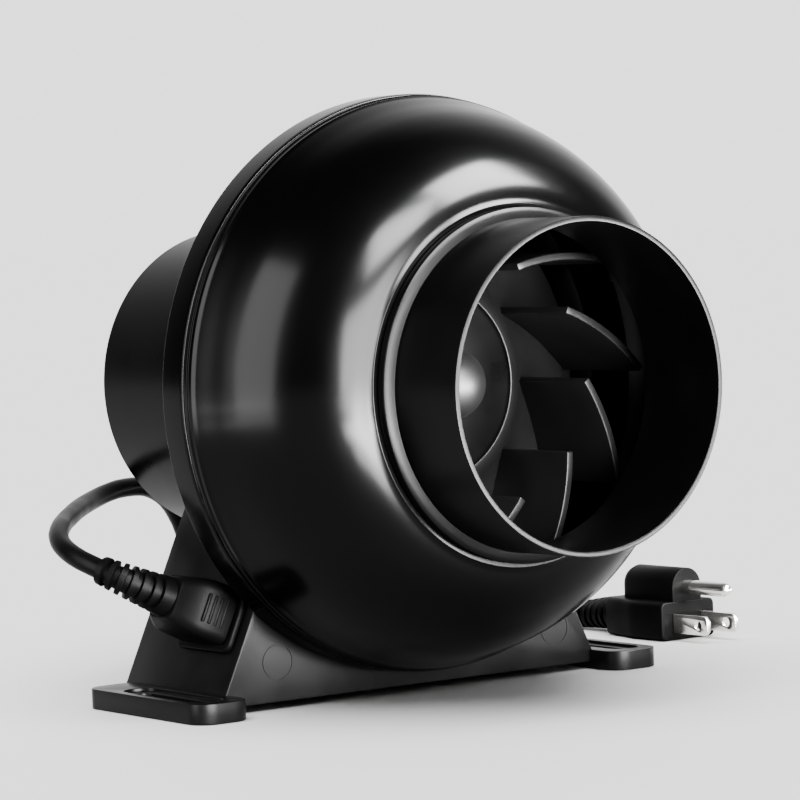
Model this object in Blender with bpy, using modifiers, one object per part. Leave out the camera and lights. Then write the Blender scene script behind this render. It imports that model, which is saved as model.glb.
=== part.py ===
"""Inline duct fan for 100 mm ducting: a two-part casing on a base, an external-rotor motor and its mains lead.

Frame: metres, +Z up. The fan axis runs along Y at AXIS_H above the floor, the intake mouth faces -Y,
+X is to the right seen from the intake, and the origin is on the floor, midway between the two mouths.
"""

import math

import bmesh
import bpy
from mathutils import Matrix, Vector

MM = 0.001
GAP = 0.3 * MM  # left between two pieces that touch

# Overall sizes
AXIS_H = 95.25 * MM
LENGTH = 190.0 * MM
SPIGOT_R = 49.0 * MM
SPIGOT_WALL = 1.6 * MM
CASING_WALL = 2.2 * MM

# Flange band where the casing halves meet
FLANGE_R = 88.15 * MM
FLANGE_FRONT_Y = -14.1 * MM
FLANGE_REAR_Y = -2.9 * MM
FLANGE_BORE_R = 79.0 * MM
LIP_R = 87.6 * MM
LIP_STEP = 0.45 * MM
LIP_LENGTH = 3.7 * MM
LIP_RING = 7.5 * MM
BULGE_R = 87.0 * MM
NECK_R = 54.3 * MM
NECK_Y = -61.4 * MM
BULGE_POWER = 1.55
COLLAR_R = 51.2 * MM
COLLAR_LENGTH = 4.0 * MM
DOME_R = 76.0 * MM
DOME_LENGTH = 50.0 * MM
DOME_POWER = 1.5
GASKET_R = 86.1 * MM
GASKET_WIDTH = 0.9 * MM
GASKET_DEPTH = 1.2 * MM

# Casing screws
HOUSING_SCREWS = 6
HOUSING_SCREW_R = 82.9 * MM
HOUSING_SCREW_START = math.radians(30)
SCREW_SHANK_R = 1.5 * MM
SCREW_HEAD_R = 2.7 * MM
SCREW_HEAD_H = 2.0 * MM
HOUSING_SCREW_LENGTH = 12.0 * MM
HEAD_RECESS = 2.6 * MM

# Impeller
BLADES = 10
BLADE_INNER_R = 36.5 * MM
BLADE_OUTER_R = 58.0 * MM
BLADE_SWEEP = math.radians(33.5)
BLADE_MID_SWEEP = math.radians(19.0)
BLADE_START = math.radians(-1.0)
BLADE_T = 2.0 * MM
BLADE_FRONT_Y = -46.6 * MM
BACK_PLATE_R = 60.0 * MM
BACK_PLATE_Y = -9.0 * MM
BACK_PLATE_T = 2.2 * MM
HUB_FRONT_Y = -19.0 * MM
HUB_FOOT_R = 38.0 * MM
HUB_FOOT_Y = -11.6 * MM
HUB_REAR_Y = 2.0 * MM
HUB_WALL = 2.4 * MM

# Motor
ROTOR_R = 29.3 * MM
ROTOR_WALL = 1.8 * MM
ROTOR_REAR_Y = 14.0 * MM
ROTOR_RECESS = 1.2 * MM
CAGE_INNER_R = 22.4 * MM
CAGE_FRONT_Y = -12.0 * MM
CAGE_REAR_Y = 10.0 * MM
AIR_GAP = 0.6 * MM
STACK_FRONT_Y = -8.0 * MM
STACK_REAR_Y = 6.0 * MM
STATOR_SLOTS = 12
SLOT_BOTTOM_R = 14.2 * MM
SLOT_TOP_R = 20.4 * MM
SLOT_SHARE = 0.56
END_TURN = 3.4 * MM
SHAFT_R = 3.0 * MM
SHAFT_FRONT_Y = -19.6 * MM
SHAFT_REAR_Y = 17.2 * MM
BEARING_R = 9.5 * MM
BEARING_W = 6.0 * MM
BEARING_FRONT_Y = -13.0 * MM
BEARING_REAR_Y = 9.0 * MM
TUBE_WALL = 1.6 * MM
MOTOR_FLANGE_R = 30.0 * MM
MOTOR_FLANGE_Y = 17.6 * MM
MOTOR_FLANGE_T = 2.6 * MM
MOTOR_SCREWS = 4
MOTOR_SCREW_R = 22.0 * MM
MOTOR_SCREW_START = math.radians(45)
MOTOR_SCREW_LENGTH = 7.0 * MM
CAP_R = 11.0 * MM
CAP_STRAIGHT = 8.1 * MM

# Motor support inside the rear casing half
CUP_R = 35.2 * MM
CUP_WALL = 2.2 * MM
CUP_FRONT_Y = 5.0 * MM
CUP_DISC_T = 3.0 * MM
VANES = 8
VANE_T = 2.0 * MM
VANE_START = math.radians(22.5)
RING_FRONT_Y = 11.0 * MM
RING_REAR_Y = 21.5 * MM
RING_WALL = 2.0 * MM

# Base
SIDE_LEAN = math.radians(24.5)
SIDE_FOOT_X = 69.7 * MM
PAD_T = 6.0 * MM
PAD_INNER_X = 68.6 * MM
PAD_OUTER_X = 87.6 * MM
PAD_FRONT_Y = -16.0 * MM
PAD_REAR_Y = 50.0 * MM
PAD_CORNER = 6.5 * MM
SLOT_X = 79.2 * MM
SLOT_Y = 12.0 * MM
SLOT_W = 5.2 * MM
SLOT_L = 36.0 * MM
RECESS_W = 11.0 * MM
RECESS_L = 46.0 * MM
RECESS_DEPTH = 1.0 * MM
BASE_UNDER_Z = 2.1 * MM
BASE_REAR_Y = 54.0 * MM
BASE_WALL = 2.6 * MM
SADDLE_WALL = 2.0 * MM
BASE_TOP_Z = 72.0 * MM
COVER_T = 2.0 * MM
COVER_HALF_X = 63.0 * MM
BOSS_R = 4.4 * MM
BASE_SCREW_LENGTH = 11.0 * MM
BASE_SCREWS_AT = [(-14.0, 5.0), (14.0, 5.0), (-22.0, 31.5), (22.0, 31.5)]
COVER_SCREWS_AT = [(0.0, 46.4), (-52.0, 44.5), (52.0, 44.5)]
COVER_SCREW_LENGTH = 8.0 * MM
CASING_BOSS_H = 6.5 * MM

# Mains inlet in the left side of the base, and the connector in it
INLET_Z = 27.1 * MM
INLET_Y = 16.0 * MM
BEZEL_W = 29.0 * MM
BEZEL_H = 21.6 * MM
BEZEL_T = 1.8 * MM
INLET_W = 26.6 * MM
INLET_H = 18.6 * MM
INLET_DEPTH = 14.0 * MM
INLET_CAVITY_W = 23.8 * MM
INLET_CAVITY_H = 15.8 * MM
INLET_BACK = 2.0 * MM
PIN_W = 4.0 * MM
PIN_T = 2.0 * MM
PIN_PITCH = 7.0 * MM
PIN_RISE = 2.0 * MM
PIN_TAIL = 4.0 * MM
PIN_REACH = 10.0 * MM
PLUG_IN_W = 22.8 * MM
PLUG_IN_H = 14.8 * MM
PLUG_IN_DEPTH = 11.0 * MM
CONNECTOR_W = 25.6 * MM
CONNECTOR_H = 18.0 * MM
CONNECTOR_OUT = 19.5 * MM
CONNECTOR_END_W = 15.0 * MM
CONNECTOR_END_H = 13.6 * MM

# Mains lead, its plug and its coil
CORD_D = 6.2 * MM
RELIEF_END_R = 4.3 * MM
CONNECTOR_RELIEF_R = 6.2 * MM
CORD_START = (-95.1, 23.0, 44.2)
UPPER_ROUTE = [
    CORD_START,
    (-98.4, 32.1, 47.8),
    (-97.6, 41.9, 50.9),
    (-93.6, 50.9, 53.4),
    (-87.9, 59.1, 54.9),
    (-81.9, 67.2, 55.7),
    (-75.4, 75.0, 56.5),
    (-68.6, 82.6, 57.5),
    (-61.6, 90.0, 58.3),
    (-54.2, 96.7, 59.2),
    (-45.8, 102.1, 60.6),
    (-36.5, 106.3, 61.6),
    (-25.0, 110.7, 60.8),
    (-14.8, 115.4, 56.2),
    (-7.2, 119.6, 48.6),
    (-1.8, 123.4, 39.4),
    (2.8, 127.2, 29.6),
    (7.8, 131.2, 20.2),
    (14.8, 135.6, 11.6),
    (24.2, 139.2, 5.6),
    (32.0, 141.0, 3.6),
    (39.4, 141.4, 3.2),
]
LOWER_ROUTE = [
    (98.3, 133.5, 7.4),
    (108.2, 130.2, 5.4),
    (117.0, 125.0, 4.0),
    (124.4, 118.2, 3.3),
    (130.2, 110.2, 3.2),
    (134.6, 101.2, 3.5),
    (137.7, 92.0, 4.4),
]
CORD_SAMPLE = 9.0 * MM
COIL_X = 64.0 * MM
COIL_Y = 101.0 * MM
COIL_R = 34.0 * MM
COIL_ROWS = 3
COIL_LAYERS = 2
TIE_W = 5.0 * MM
TIE_T = 1.0 * MM
TIE_ANGLE = math.radians(-90)

PLUG_X = 140.2 * MM
PLUG_Y = 33.1 * MM
PLUG_YAW = math.radians(1.8)
PLUG_LENGTH = 33.0 * MM
PLUG_WIDTH = 24.0 * MM
PLUG_REAR_WIDTH = 17.0 * MM
PLUG_STRAIGHT = 15.5 * MM
PLUG_BOX_H = 13.0 * MM
PLUG_BARREL_R = 6.5 * MM
PLUG_BARREL_L = 27.0 * MM
BLADE_Z = 5.7 * MM
BLADE_PITCH = 12.7 * MM
BLADE_H = 6.35 * MM
BLADE_THICK = 1.5 * MM
BLADE_OUT = 17.2 * MM
BLADE_IN = 5.0 * MM
BLADE_HOLE_R = 1.6 * MM
GROUND_RISE = 11.9 * MM
GROUND_R = 2.4 * MM
GROUND_OUT = 21.0 * MM
PLUG_RELIEF_L = 25.0 * MM
PLUG_RELIEF_R = 5.8 * MM

CASING_STEPS = 36
MOTOR_STEPS = 24

for old in list(bpy.data.objects):
    bpy.data.objects.remove(old, do_unlink=True)


def collection(name):
    made = bpy.data.collections.new(name)
    bpy.context.scene.collection.children.link(made)
    return made


PARTS = collection("inline_duct_fan")
CUTTERS = collection("cutters")


def principled(name, colour, roughness, metallic=0.0):
    material = bpy.data.materials.new(name)
    material.use_nodes = True
    shader = material.node_tree.nodes["Principled BSDF"]
    shader.inputs["Base Color"].default_value = (*colour, 1.0)
    shader.inputs["Roughness"].default_value = roughness
    shader.inputs["Metallic"].default_value = metallic
    return material


GLOSS_BLACK = principled("gloss_black_plastic", (0.012, 0.012, 0.013), 0.12)
SATIN_BLACK = principled("satin_black_plastic", (0.02, 0.02, 0.021), 0.4)
CORD_BLACK = principled("black_pvc", (0.018, 0.018, 0.019), 0.5)
RUBBER = principled("black_rubber", (0.02, 0.02, 0.02), 0.8)
STEEL = principled("zinc_plated_steel", (0.62, 0.62, 0.6), 0.32, 1.0)
ROTOR_PAINT = principled("black_painted_steel", (0.02, 0.02, 0.022), 0.3, 0.2)
ALUMINIUM = principled("cast_aluminium", (0.6, 0.6, 0.6), 0.45, 1.0)
LAMINATION = principled("electrical_steel", (0.35, 0.36, 0.38), 0.5, 1.0)
COPPER = principled("enamelled_copper", (0.72, 0.32, 0.14), 0.35, 1.0)
NICKEL = principled("nickel_plated_brass", (0.8, 0.79, 0.76), 0.2, 1.0)
WHITE_NYLON = principled("natural_nylon", (0.75, 0.73, 0.66), 0.45)
CAPACITOR_SHELL = principled("capacitor_shell", (0.55, 0.56, 0.58), 0.4)
WIRE_COLOURS = {
    "line": principled("brown_wire", (0.16, 0.07, 0.03), 0.45),
    "neutral": principled("blue_wire", (0.05, 0.12, 0.4), 0.45),
    "earth": principled("green_wire", (0.06, 0.3, 0.08), 0.45),
}


def add(name, mesh, material=None, matrix=None):
    """An object of the model, or a cutter where it has no material."""
    made = bpy.data.objects.new(name, mesh)
    (PARTS if material else CUTTERS).objects.link(made)
    if matrix is not None:
        made.matrix_world = matrix
    if material:
        mesh.materials.clear()
        mesh.materials.append(material)
    else:
        made.hide_render = True
        made.display_type = "WIRE"
    return made


def mesh_from(name, build):
    mesh = bpy.data.meshes.new(name)
    shape = bmesh.new()
    build(shape)
    bmesh.ops.recalc_face_normals(shape, faces=shape.faces)
    shape.to_mesh(mesh)
    shape.free()
    return mesh


def smooth(made, angle=40):
    made.data.shade_smooth()
    made.data.set_sharp_from_angle(angle=math.radians(angle))
    return made


def turned(name, profile, material=None, steps=CASING_STEPS, matrix=None):
    """A closed profile of (radius, height) points turned round its own Z: the outer side first, top to bottom."""
    mesh = bpy.data.meshes.new(name)
    corners = [(radius, 0.0, height) for radius, height in profile]
    pairs = [(at, (at + 1) % len(corners)) for at in range(len(corners))]
    edges = [(one, two) for one, two in pairs if profile[one][0] > 0.0 or profile[two][0] > 0.0]
    mesh.from_pydata(corners, edges, [])
    made = add(name, mesh, material, matrix)
    screw = made.modifiers.new("turn", "SCREW")
    screw.angle = math.tau
    screw.steps = steps
    screw.render_steps = steps
    screw.use_merge_vertices = True
    screw.merge_threshold = 0.00001
    return made


def axle(x=0.0, z=AXIS_H):
    """Places a turned piece so that its own Z lies along the fan's Y."""
    return Matrix.Translation((x, 0.0, z)) @ Matrix.Rotation(math.radians(-90), 4, "X")


def boolean(made, other, operation="DIFFERENCE"):
    modifier = made.modifiers.new(f"{operation.lower()}_{other.name}", "BOOLEAN")
    modifier.operation = operation
    modifier.solver = "EXACT"
    modifier.object = other
    return made


def cylinder(shape, radius, start, end, segments=12, end_radius=None):
    """A capped cylinder or cone from one point to another."""
    start, end = Vector(start), Vector(end)
    along = end - start
    turn = Vector((0, 0, 1)).rotation_difference(along).to_matrix().to_4x4()
    bmesh.ops.create_cone(
        shape,
        cap_ends=True,
        segments=segments,
        radius1=radius,
        radius2=radius if end_radius is None else end_radius,
        depth=along.length,
        matrix=Matrix.Translation((start + end) / 2) @ turn,
    )


def block(shape, low, high, matrix=None):
    """A box between two corners."""
    low, high = Vector(low), Vector(high)
    size = Matrix.Diagonal((*(high - low), 1.0))
    placed = Matrix.Translation((low + high) / 2) @ size
    bmesh.ops.create_cube(shape, size=1.0, matrix=placed if matrix is None else matrix @ placed)


def prism(shape, outline, low, high, matrix=None):
    """A flat outline of (x, y) points made solid between two heights."""
    bottom = [shape.verts.new((x, y, low)) for x, y in outline]
    face = shape.faces.new(bottom)
    lifted = bmesh.ops.extrude_face_region(shape, geom=[face])["geom"]
    top = [item for item in lifted if isinstance(item, bmesh.types.BMVert)]
    bmesh.ops.translate(shape, verts=top, vec=(0.0, 0.0, high - low))
    if matrix is not None:
        bmesh.ops.transform(shape, matrix=matrix, verts=bottom + top)


def loft(shape, sections):
    """Joins rings of equally many points into one closed body."""
    rings = [[shape.verts.new(point) for point in section] for section in sections]
    for ring, following in zip(rings[:-1], rings[1:]):
        for at in range(len(ring)):
            after = (at + 1) % len(ring)
            shape.faces.new((ring[at], ring[after], following[after], following[at]))
    shape.faces.new(rings[0])
    shape.faces.new(rings[-1])


def rounded(half_x, half_y, corner, steps=3):
    """The outline of a rectangle with round corners."""
    points = []
    for quarter, (sign_x, sign_y) in enumerate(((1, 1), (-1, 1), (-1, -1), (1, -1))):
        for step in range(steps + 1):
            angle = math.radians(90) * (quarter + step / steps)
            x = sign_x * (half_x - corner) + corner * math.cos(angle)
            y = sign_y * (half_y - corner) + corner * math.sin(angle)
            points.append((x, y))
    return points


def on_circle(radius, angle, y=0.0):
    """A point at an angle round the fan axis, from +X towards +Z."""
    return Vector((radius * math.cos(angle), y, AXIS_H + radius * math.sin(angle)))


def around(count, start):
    return [start + math.tau * at / count for at in range(count)]


def screw_piece(name, base, direction, length, head_r=SCREW_HEAD_R, shank_r=SCREW_SHANK_R):
    """A pan-head screw whose head bears at base, with its shank along direction."""
    base, direction = Vector(base), Vector(direction).normalized()

    def build(shape):
        head = base - direction * SCREW_HEAD_H
        cylinder(shape, head_r * 0.8, head, base, 8, head_r)

    made = add(name, mesh_from(name, build), STEEL)

    def shank(shape):
        cylinder(shape, shank_r, base - direction * MM * 0.5, base + direction * length, 8)

    boolean(made, add(f"{name}_shank", mesh_from(name, shank)), "UNION")
    return smooth(made)


def curve_piece(name, points, radius, material, radii=None, sides=2):
    """A round tube with closed ends along points."""
    curve = bpy.data.curves.new(name, "CURVE")
    curve.dimensions = "3D"
    curve.bevel_depth = radius
    curve.bevel_resolution = sides
    curve.use_fill_caps = True
    spline = curve.splines.new("POLY")
    spline.points.add(len(points) - 1)
    for at, point in enumerate(points):
        spline.points[at].co = (*point, 1.0)
        spline.points[at].radius = radii[at] if radii else 1.0
    made = bpy.data.objects.new(name, curve)
    PARTS.objects.link(made)
    curve.materials.append(material)
    return made


def through(route, spacing):
    """Points about spacing apart on a smooth curve through a route given in millimetres."""
    knots = [Vector(point) * MM for point in route]
    knots = [2 * knots[0] - knots[1], *knots, 2 * knots[-1] - knots[-2]]
    fine = []
    for at in range(1, len(knots) - 2):
        before, start, end, after = knots[at - 1 : at + 3]
        for step in range(12):
            t = step / 12
            point = 2 * start + (end - before) * t + (2 * before - 5 * start + 4 * end - after) * t**2
            fine.append((point + (3 * start - before - 3 * end + after) * t**3) / 2)
    fine.append(knots[-2])
    runs = [0.0]
    for start, end in zip(fine[:-1], fine[1:]):
        runs.append(runs[-1] + (end - start).length)
    count = max(3, round(runs[-1] / spacing))
    points = [fine[0]]
    for step in range(1, count):
        wanted = runs[-1] * step / count
        at = next(index for index in range(len(runs)) if runs[index] >= wanted)
        share = (wanted - runs[at - 1]) / (runs[at] - runs[at - 1])
        points.append(fine[at - 1].lerp(fine[at], share))
    return [*points, fine[-1]]


def bezier(start, start_dir, end, end_dir, reach, count):
    """Points on a bend that leaves start along start_dir and reaches end along end_dir."""
    one = start + start_dir * reach
    two = end - end_dir * reach
    points = []
    for step in range(count + 1):
        t = step / count
        weights = ((1 - t) ** 3, 3 * t * (1 - t) ** 2, 3 * t * t * (1 - t), t**3)
        points.append(start * weights[0] + one * weights[1] + two * weights[2] + end * weights[3])
    return points


def joining(start, start_dir, end, end_dir, reach, count):
    """A bend whose first and last steps run straight, so that its end faces meet their neighbours squarely."""
    points = bezier(start, start_dir, end, end_dir, reach, count)
    points[1] = start + start_dir * (points[1] - start).length
    points[-2] = end - end_dir * (points[-2] - end).length
    return points


# Outlines of the casing


def shoulder(outer_r, inner_r, start_y, end_y, power, steps=6):
    """A full shoulder from the wide radius in to the narrow one, between two places along the axis."""
    points = []
    for step in range(steps + 1):
        angle = math.radians(90) * step / steps
        along = math.sin(angle) ** (2 / power)
        across = math.cos(angle) ** (2 / power) if step < steps else 0.0
        points.append((inner_r + (outer_r - inner_r) * across, start_y + (end_y - start_y) * along))
    return points


def inset(points, depth):
    """The same outline moved inwards, square to itself, by depth."""
    moved = []
    for at, (radius, along) in enumerate(points):
        before = points[max(at - 1, 0)]
        after = points[min(at + 1, len(points) - 1)]
        run = Vector((after[0] - before[0], after[1] - before[1])).normalized()
        side = Vector((-run.y, run.x))
        if side.x > 0:
            side = -side
        moved.append((radius + side.x * depth, along + side.y * depth))
    return moved


LIP_Y = FLANGE_FRONT_Y - GAP
BULGE_Y = LIP_Y - LIP_LENGTH
BULGE = shoulder(BULGE_R - LIP_STEP, NECK_R, BULGE_Y, NECK_Y, BULGE_POWER)
DOME = shoulder(DOME_R, SPIGOT_R, FLANGE_REAR_Y, FLANGE_REAR_Y + DOME_LENGTH, DOME_POWER)
SPIGOT_BORE_R = SPIGOT_R - SPIGOT_WALL
DOME_BORE = [point for point in inset(DOME, CASING_WALL) if point[0] > SPIGOT_BORE_R]


def dome_radius(y, depth=0.0):
    """The radius of the rear dome at a place along the axis, depth below its surface."""
    outline = inset(DOME, depth)
    for (r_one, y_one), (r_two, y_two) in zip(outline[:-1], outline[1:]):
        if y_one <= y <= y_two:
            return r_one + (r_two - r_one) * (y - y_one) / (y_two - y_one)
    return outline[0][0] if y < outline[0][1] else SPIGOT_R - depth


def casing_bottom(x, y, depth=0.0):
    """The height of the rear casing's underside at a place on the floor plan."""
    return AXIS_H - math.sqrt(dome_radius(y, depth) ** 2 - x**2)


def base_screw_places():
    for x, y in BASE_SCREWS_AT:
        yield Vector((x * MM, y * MM, casing_bottom(x * MM, y * MM)))


def front_housing():
    """The intake half: flange lip, bulge, neck with its collar, and the front spigot."""
    bulge_bore = [point for point in inset(BULGE, CASING_WALL) if point[1] < BULGE_Y - LIP_RING / 2]
    bore_front = (SPIGOT_BORE_R, NECK_Y + CASING_WALL / 2)
    profile = [
        (LIP_R, LIP_Y),
        (LIP_R, LIP_Y - LIP_LENGTH / 2),
        (LIP_R - LIP_STEP, LIP_Y - LIP_LENGTH / 2),
        (LIP_R - LIP_STEP, BULGE_Y),
        *BULGE,
        (COLLAR_R, NECK_Y),
        (COLLAR_R, NECK_Y - COLLAR_LENGTH),
        (SPIGOT_R, NECK_Y - COLLAR_LENGTH),
        (SPIGOT_R, -LENGTH / 2),
        (SPIGOT_BORE_R, -LENGTH / 2),
        bore_front,
        *[point for point in reversed(bulge_bore) if point[0] > SPIGOT_BORE_R + MM],
        (FLANGE_BORE_R, BULGE_Y - LIP_RING / 2),
        (FLANGE_BORE_R, LIP_Y),
    ]
    made = turned("front_housing", profile, GLOSS_BLACK, matrix=axle())

    def holes(shape):
        for angle in around(HOUSING_SCREWS, HOUSING_SCREW_START):
            deep = FLANGE_REAR_Y - HEAD_RECESS - HOUSING_SCREW_LENGTH - MM
            start = on_circle(HOUSING_SCREW_R, angle, deep)
            end = on_circle(HOUSING_SCREW_R, angle, FLANGE_FRONT_Y + MM)
            cylinder(shape, SCREW_SHANK_R + GAP, start, end, 8)

    boolean(made, add("front_screw_holes", mesh_from("front_screw_holes", holes)))
    return smooth(made)


def rear_housing():
    """The outlet half: flange, dome and rear spigot, with bosses for the base's screws."""
    groove_r = GASKET_R - GAP
    groove_out = GASKET_R + GASKET_WIDTH + GAP
    profile = [
        (SPIGOT_R, LENGTH / 2),
        *reversed(DOME),
        (FLANGE_R, FLANGE_REAR_Y),
        (FLANGE_R, FLANGE_FRONT_Y),
        (groove_out, FLANGE_FRONT_Y),
        (groove_out, FLANGE_FRONT_Y + GASKET_DEPTH),
        (groove_r, FLANGE_FRONT_Y + GASKET_DEPTH),
        (groove_r, FLANGE_FRONT_Y),
        (FLANGE_BORE_R, FLANGE_FRONT_Y),
        *DOME_BORE,
        (SPIGOT_BORE_R, DOME[-1][1] - CASING_WALL),
        (SPIGOT_BORE_R, LENGTH / 2),
    ]
    made = turned("rear_housing", profile, GLOSS_BLACK, matrix=axle())

    def bosses(shape):
        for place in base_screw_places():
            radius = BOSS_R * 0.8
            foot = Vector((place.x, place.y, casing_bottom(place.x, place.y + radius) + MM / 2))
            cylinder(shape, radius, foot, foot + Vector((0, 0, CASING_BOSS_H)), 10)

    boolean(made, add("casing_bosses", mesh_from("casing_bosses", bosses)), "UNION")

    def holes(shape):
        for angle in around(HOUSING_SCREWS, HOUSING_SCREW_START):
            recess = FLANGE_REAR_Y - HEAD_RECESS
            inner = on_circle(HOUSING_SCREW_R, angle, recess)
            cylinder(
                shape,
                SCREW_SHANK_R + GAP,
                on_circle(HOUSING_SCREW_R, angle, FLANGE_FRONT_Y - MM),
                inner + Vector((0, MM / 2, 0)),
                8,
            )
        for place in base_screw_places():
            start = place - Vector((0, 0, 4 * MM))
            cylinder(shape, SCREW_SHANK_R + GAP, start, start + Vector((0, 0, 30 * MM)), 8)
        bottom = casing_bottom(0.0, GROMMET_Y)
        low = (0.0, GROMMET_Y, bottom - 6 * MM)
        cylinder(shape, GROMMET_R + GAP, low, (0.0, GROMMET_Y, bottom + 12 * MM), 12)

    boolean(made, add("rear_holes", mesh_from("rear_holes", holes)))

    def recesses(shape):
        for angle in around(HOUSING_SCREWS, HOUSING_SCREW_START):
            start = on_circle(HOUSING_SCREW_R, angle, FLANGE_REAR_Y - HEAD_RECESS)
            end = on_circle(HOUSING_SCREW_R, angle, FLANGE_REAR_Y + MM)
            cylinder(shape, SCREW_HEAD_R + GAP, start, end, 8)

    boolean(made, add("rear_recesses", mesh_from("rear_recesses", recesses)))
    return smooth(made)


def housing_gasket():
    rear = FLANGE_FRONT_Y + GASKET_DEPTH - GAP
    profile = [
        (GASKET_R + GASKET_WIDTH, rear),
        (GASKET_R + GASKET_WIDTH, FLANGE_FRONT_Y),
        (GASKET_R, FLANGE_FRONT_Y),
        (GASKET_R, rear),
    ]
    return turned("housing_gasket", profile, RUBBER, matrix=axle())


def housing_screws():
    bearing = FLANGE_REAR_Y - HEAD_RECESS + GAP
    for at, angle in enumerate(around(HOUSING_SCREWS, HOUSING_SCREW_START), 1):
        base = on_circle(HOUSING_SCREW_R, angle, bearing)
        screw_piece(f"housing_screw_{at}", base, (0, -1, 0), HOUSING_SCREW_LENGTH)


# Rotor: everything here turns about the fan axis

SPIN = bpy.data.objects.new("impeller_axis", None)
PARTS.objects.link(SPIN)
SPIN.matrix_world = Matrix.Translation((0.0, 0.0, AXIS_H))


def on_spin(made):
    """Parents a piece to the empty on the fan axis, where it stands."""
    placed = made.matrix_basis.copy()
    made.parent = SPIN
    made.matrix_parent_inverse = SPIN.matrix_basis.inverted()
    made.matrix_basis = placed
    return made


def arc_through(one, two, three, steps):
    """Points on the circle through three points, from the first to the last, and its centre."""
    (ax, ay), (bx, by), (cx, cy) = one, two, three
    twice = 2 * (ax * (by - cy) + bx * (cy - ay) + cx * (ay - by))
    a2, b2, c2 = ax * ax + ay * ay, bx * bx + by * by, cx * cx + cy * cy
    centre_x = (a2 * (by - cy) + b2 * (cy - ay) + c2 * (ay - by)) / twice
    centre_y = (a2 * (cx - bx) + b2 * (ax - cx) + c2 * (bx - ax)) / twice
    radius = math.hypot(ax - centre_x, ay - centre_y)
    first = math.atan2(ay - centre_y, ax - centre_x)
    sweep = math.atan2(cy - centre_y, cx - centre_x) - first
    sweep = (sweep + math.pi) % math.tau - math.pi
    angles = [first + sweep * step / steps for step in range(steps + 1)]
    return angles, radius, (centre_x, centre_y)


def blade_outline(start):
    """The plan of one backward-curved blade, in the plane square to the axis."""
    def polar(radius, angle):
        return (radius * math.cos(angle), radius * math.sin(angle))

    mid_r = (BLADE_INNER_R + BLADE_OUTER_R) / 2
    one = polar(BLADE_INNER_R, start)
    two = polar(mid_r, start - BLADE_MID_SWEEP)
    three = polar(BLADE_OUTER_R, start - BLADE_SWEEP)
    angles, radius, (centre_x, centre_y) = arc_through(one, two, three, 5)
    sides = []
    for offset in (BLADE_T / 2, -BLADE_T / 2):
        reach = radius + offset
        sides.append([(centre_x + reach * math.cos(a), centre_y + reach * math.sin(a)) for a in angles])
    return sides[0] + sides[1][::-1]


def impeller():
    """Hub, conical back plate and ten blades, moulded in one piece."""
    bore = ROTOR_R + GAP
    hub_r = bore + HUB_WALL
    plate_rear = BACK_PLATE_Y + BACK_PLATE_T
    profile = [
        (BACK_PLATE_R, plate_rear),
        (BACK_PLATE_R, BACK_PLATE_Y),
        (HUB_FOOT_R + 10 * MM, BACK_PLATE_Y - 0.9 * MM),
        (HUB_FOOT_R, HUB_FOOT_Y),
        (hub_r + 1.2 * MM, HUB_FRONT_Y + 4.4 * MM),
        (bore, HUB_FRONT_Y),
        (bore, HUB_REAR_Y),
        (hub_r, HUB_REAR_Y),
        (hub_r, plate_rear - 1.2 * MM),
        (HUB_FOOT_R + 10 * MM, plate_rear - 0.4 * MM),
    ]
    made = turned("impeller", profile, SATIN_BLACK, matrix=axle())

    def blades(shape):
        tilt = Matrix.Translation((0, 0, AXIS_H)) @ Matrix.Rotation(math.radians(90), 4, "X")
        for start in around(BLADES, BLADE_START):
            root = BACK_PLATE_Y + BACK_PLATE_T / 2
            prism(shape, blade_outline(start), -root, -BLADE_FRONT_Y, tilt)

    boolean(made, add("blade_set", mesh_from("blade_set", blades)), "UNION")
    return on_spin(smooth(made, 30))


def rotor_cup():
    """The pressed steel bell that carries the impeller, with its boss on the shaft."""
    front = HUB_FRONT_Y + ROTOR_RECESS * 0.25
    inner_r = ROTOR_R - ROTOR_WALL
    shaft_bore = SHAFT_R + GAP
    boss_r = SHAFT_R + 3 * MM
    face_y = front + ROTOR_RECESS
    profile = [
        (ROTOR_R, ROTOR_REAR_Y),
        (ROTOR_R, front + MM),
        (ROTOR_R - MM, front),
        (ROTOR_R - 3 * MM, front + ROTOR_RECESS * 0.5),
        (CAP_R + 2 * MM, face_y),
        (shaft_bore, face_y),
        (shaft_bore, BEARING_FRONT_Y - MM),
        (boss_r, BEARING_FRONT_Y - MM),
        (boss_r, face_y + ROTOR_WALL),
        (ROTOR_R - 4 * MM, front + ROTOR_RECESS * 0.5 + ROTOR_WALL),
        (inner_r, front + ROTOR_WALL + 1.4 * MM),
        (inner_r, ROTOR_REAR_Y),
    ]
    return on_spin(smooth(turned("rotor_cup", profile, ROTOR_PAINT, MOTOR_STEPS, axle())))


def rotor_cage():
    outer = ROTOR_R - ROTOR_WALL - GAP
    profile = [
        (outer, CAGE_REAR_Y),
        (outer, CAGE_FRONT_Y),
        (CAGE_INNER_R, CAGE_FRONT_Y),
        (CAGE_INNER_R, CAGE_REAR_Y),
    ]
    return on_spin(smooth(turned("rotor_cage", profile, LAMINATION, MOTOR_STEPS, axle())))


CLIP_Y = BEARING_REAR_Y + BEARING_W + GAP
CLIP_T = 0.8 * MM
CLIP_GROOVE = 0.5 * MM


def motor_shaft():
    groove_r = SHAFT_R - CLIP_GROOVE
    profile = [
        (0.0, SHAFT_REAR_Y),
        (SHAFT_R - 0.4 * MM, SHAFT_REAR_Y),
        (SHAFT_R, SHAFT_REAR_Y - 0.4 * MM),
        (SHAFT_R, CLIP_Y + CLIP_T + GAP),
        (groove_r, CLIP_Y + CLIP_T + GAP),
        (groove_r, CLIP_Y - GAP / 2),
        (SHAFT_R, CLIP_Y - GAP / 2),
        (SHAFT_R, SHAFT_FRONT_Y),
        (0.0, SHAFT_FRONT_Y),
    ]
    return on_spin(smooth(turned("motor_shaft", profile, STEEL, 16, axle())))


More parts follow.
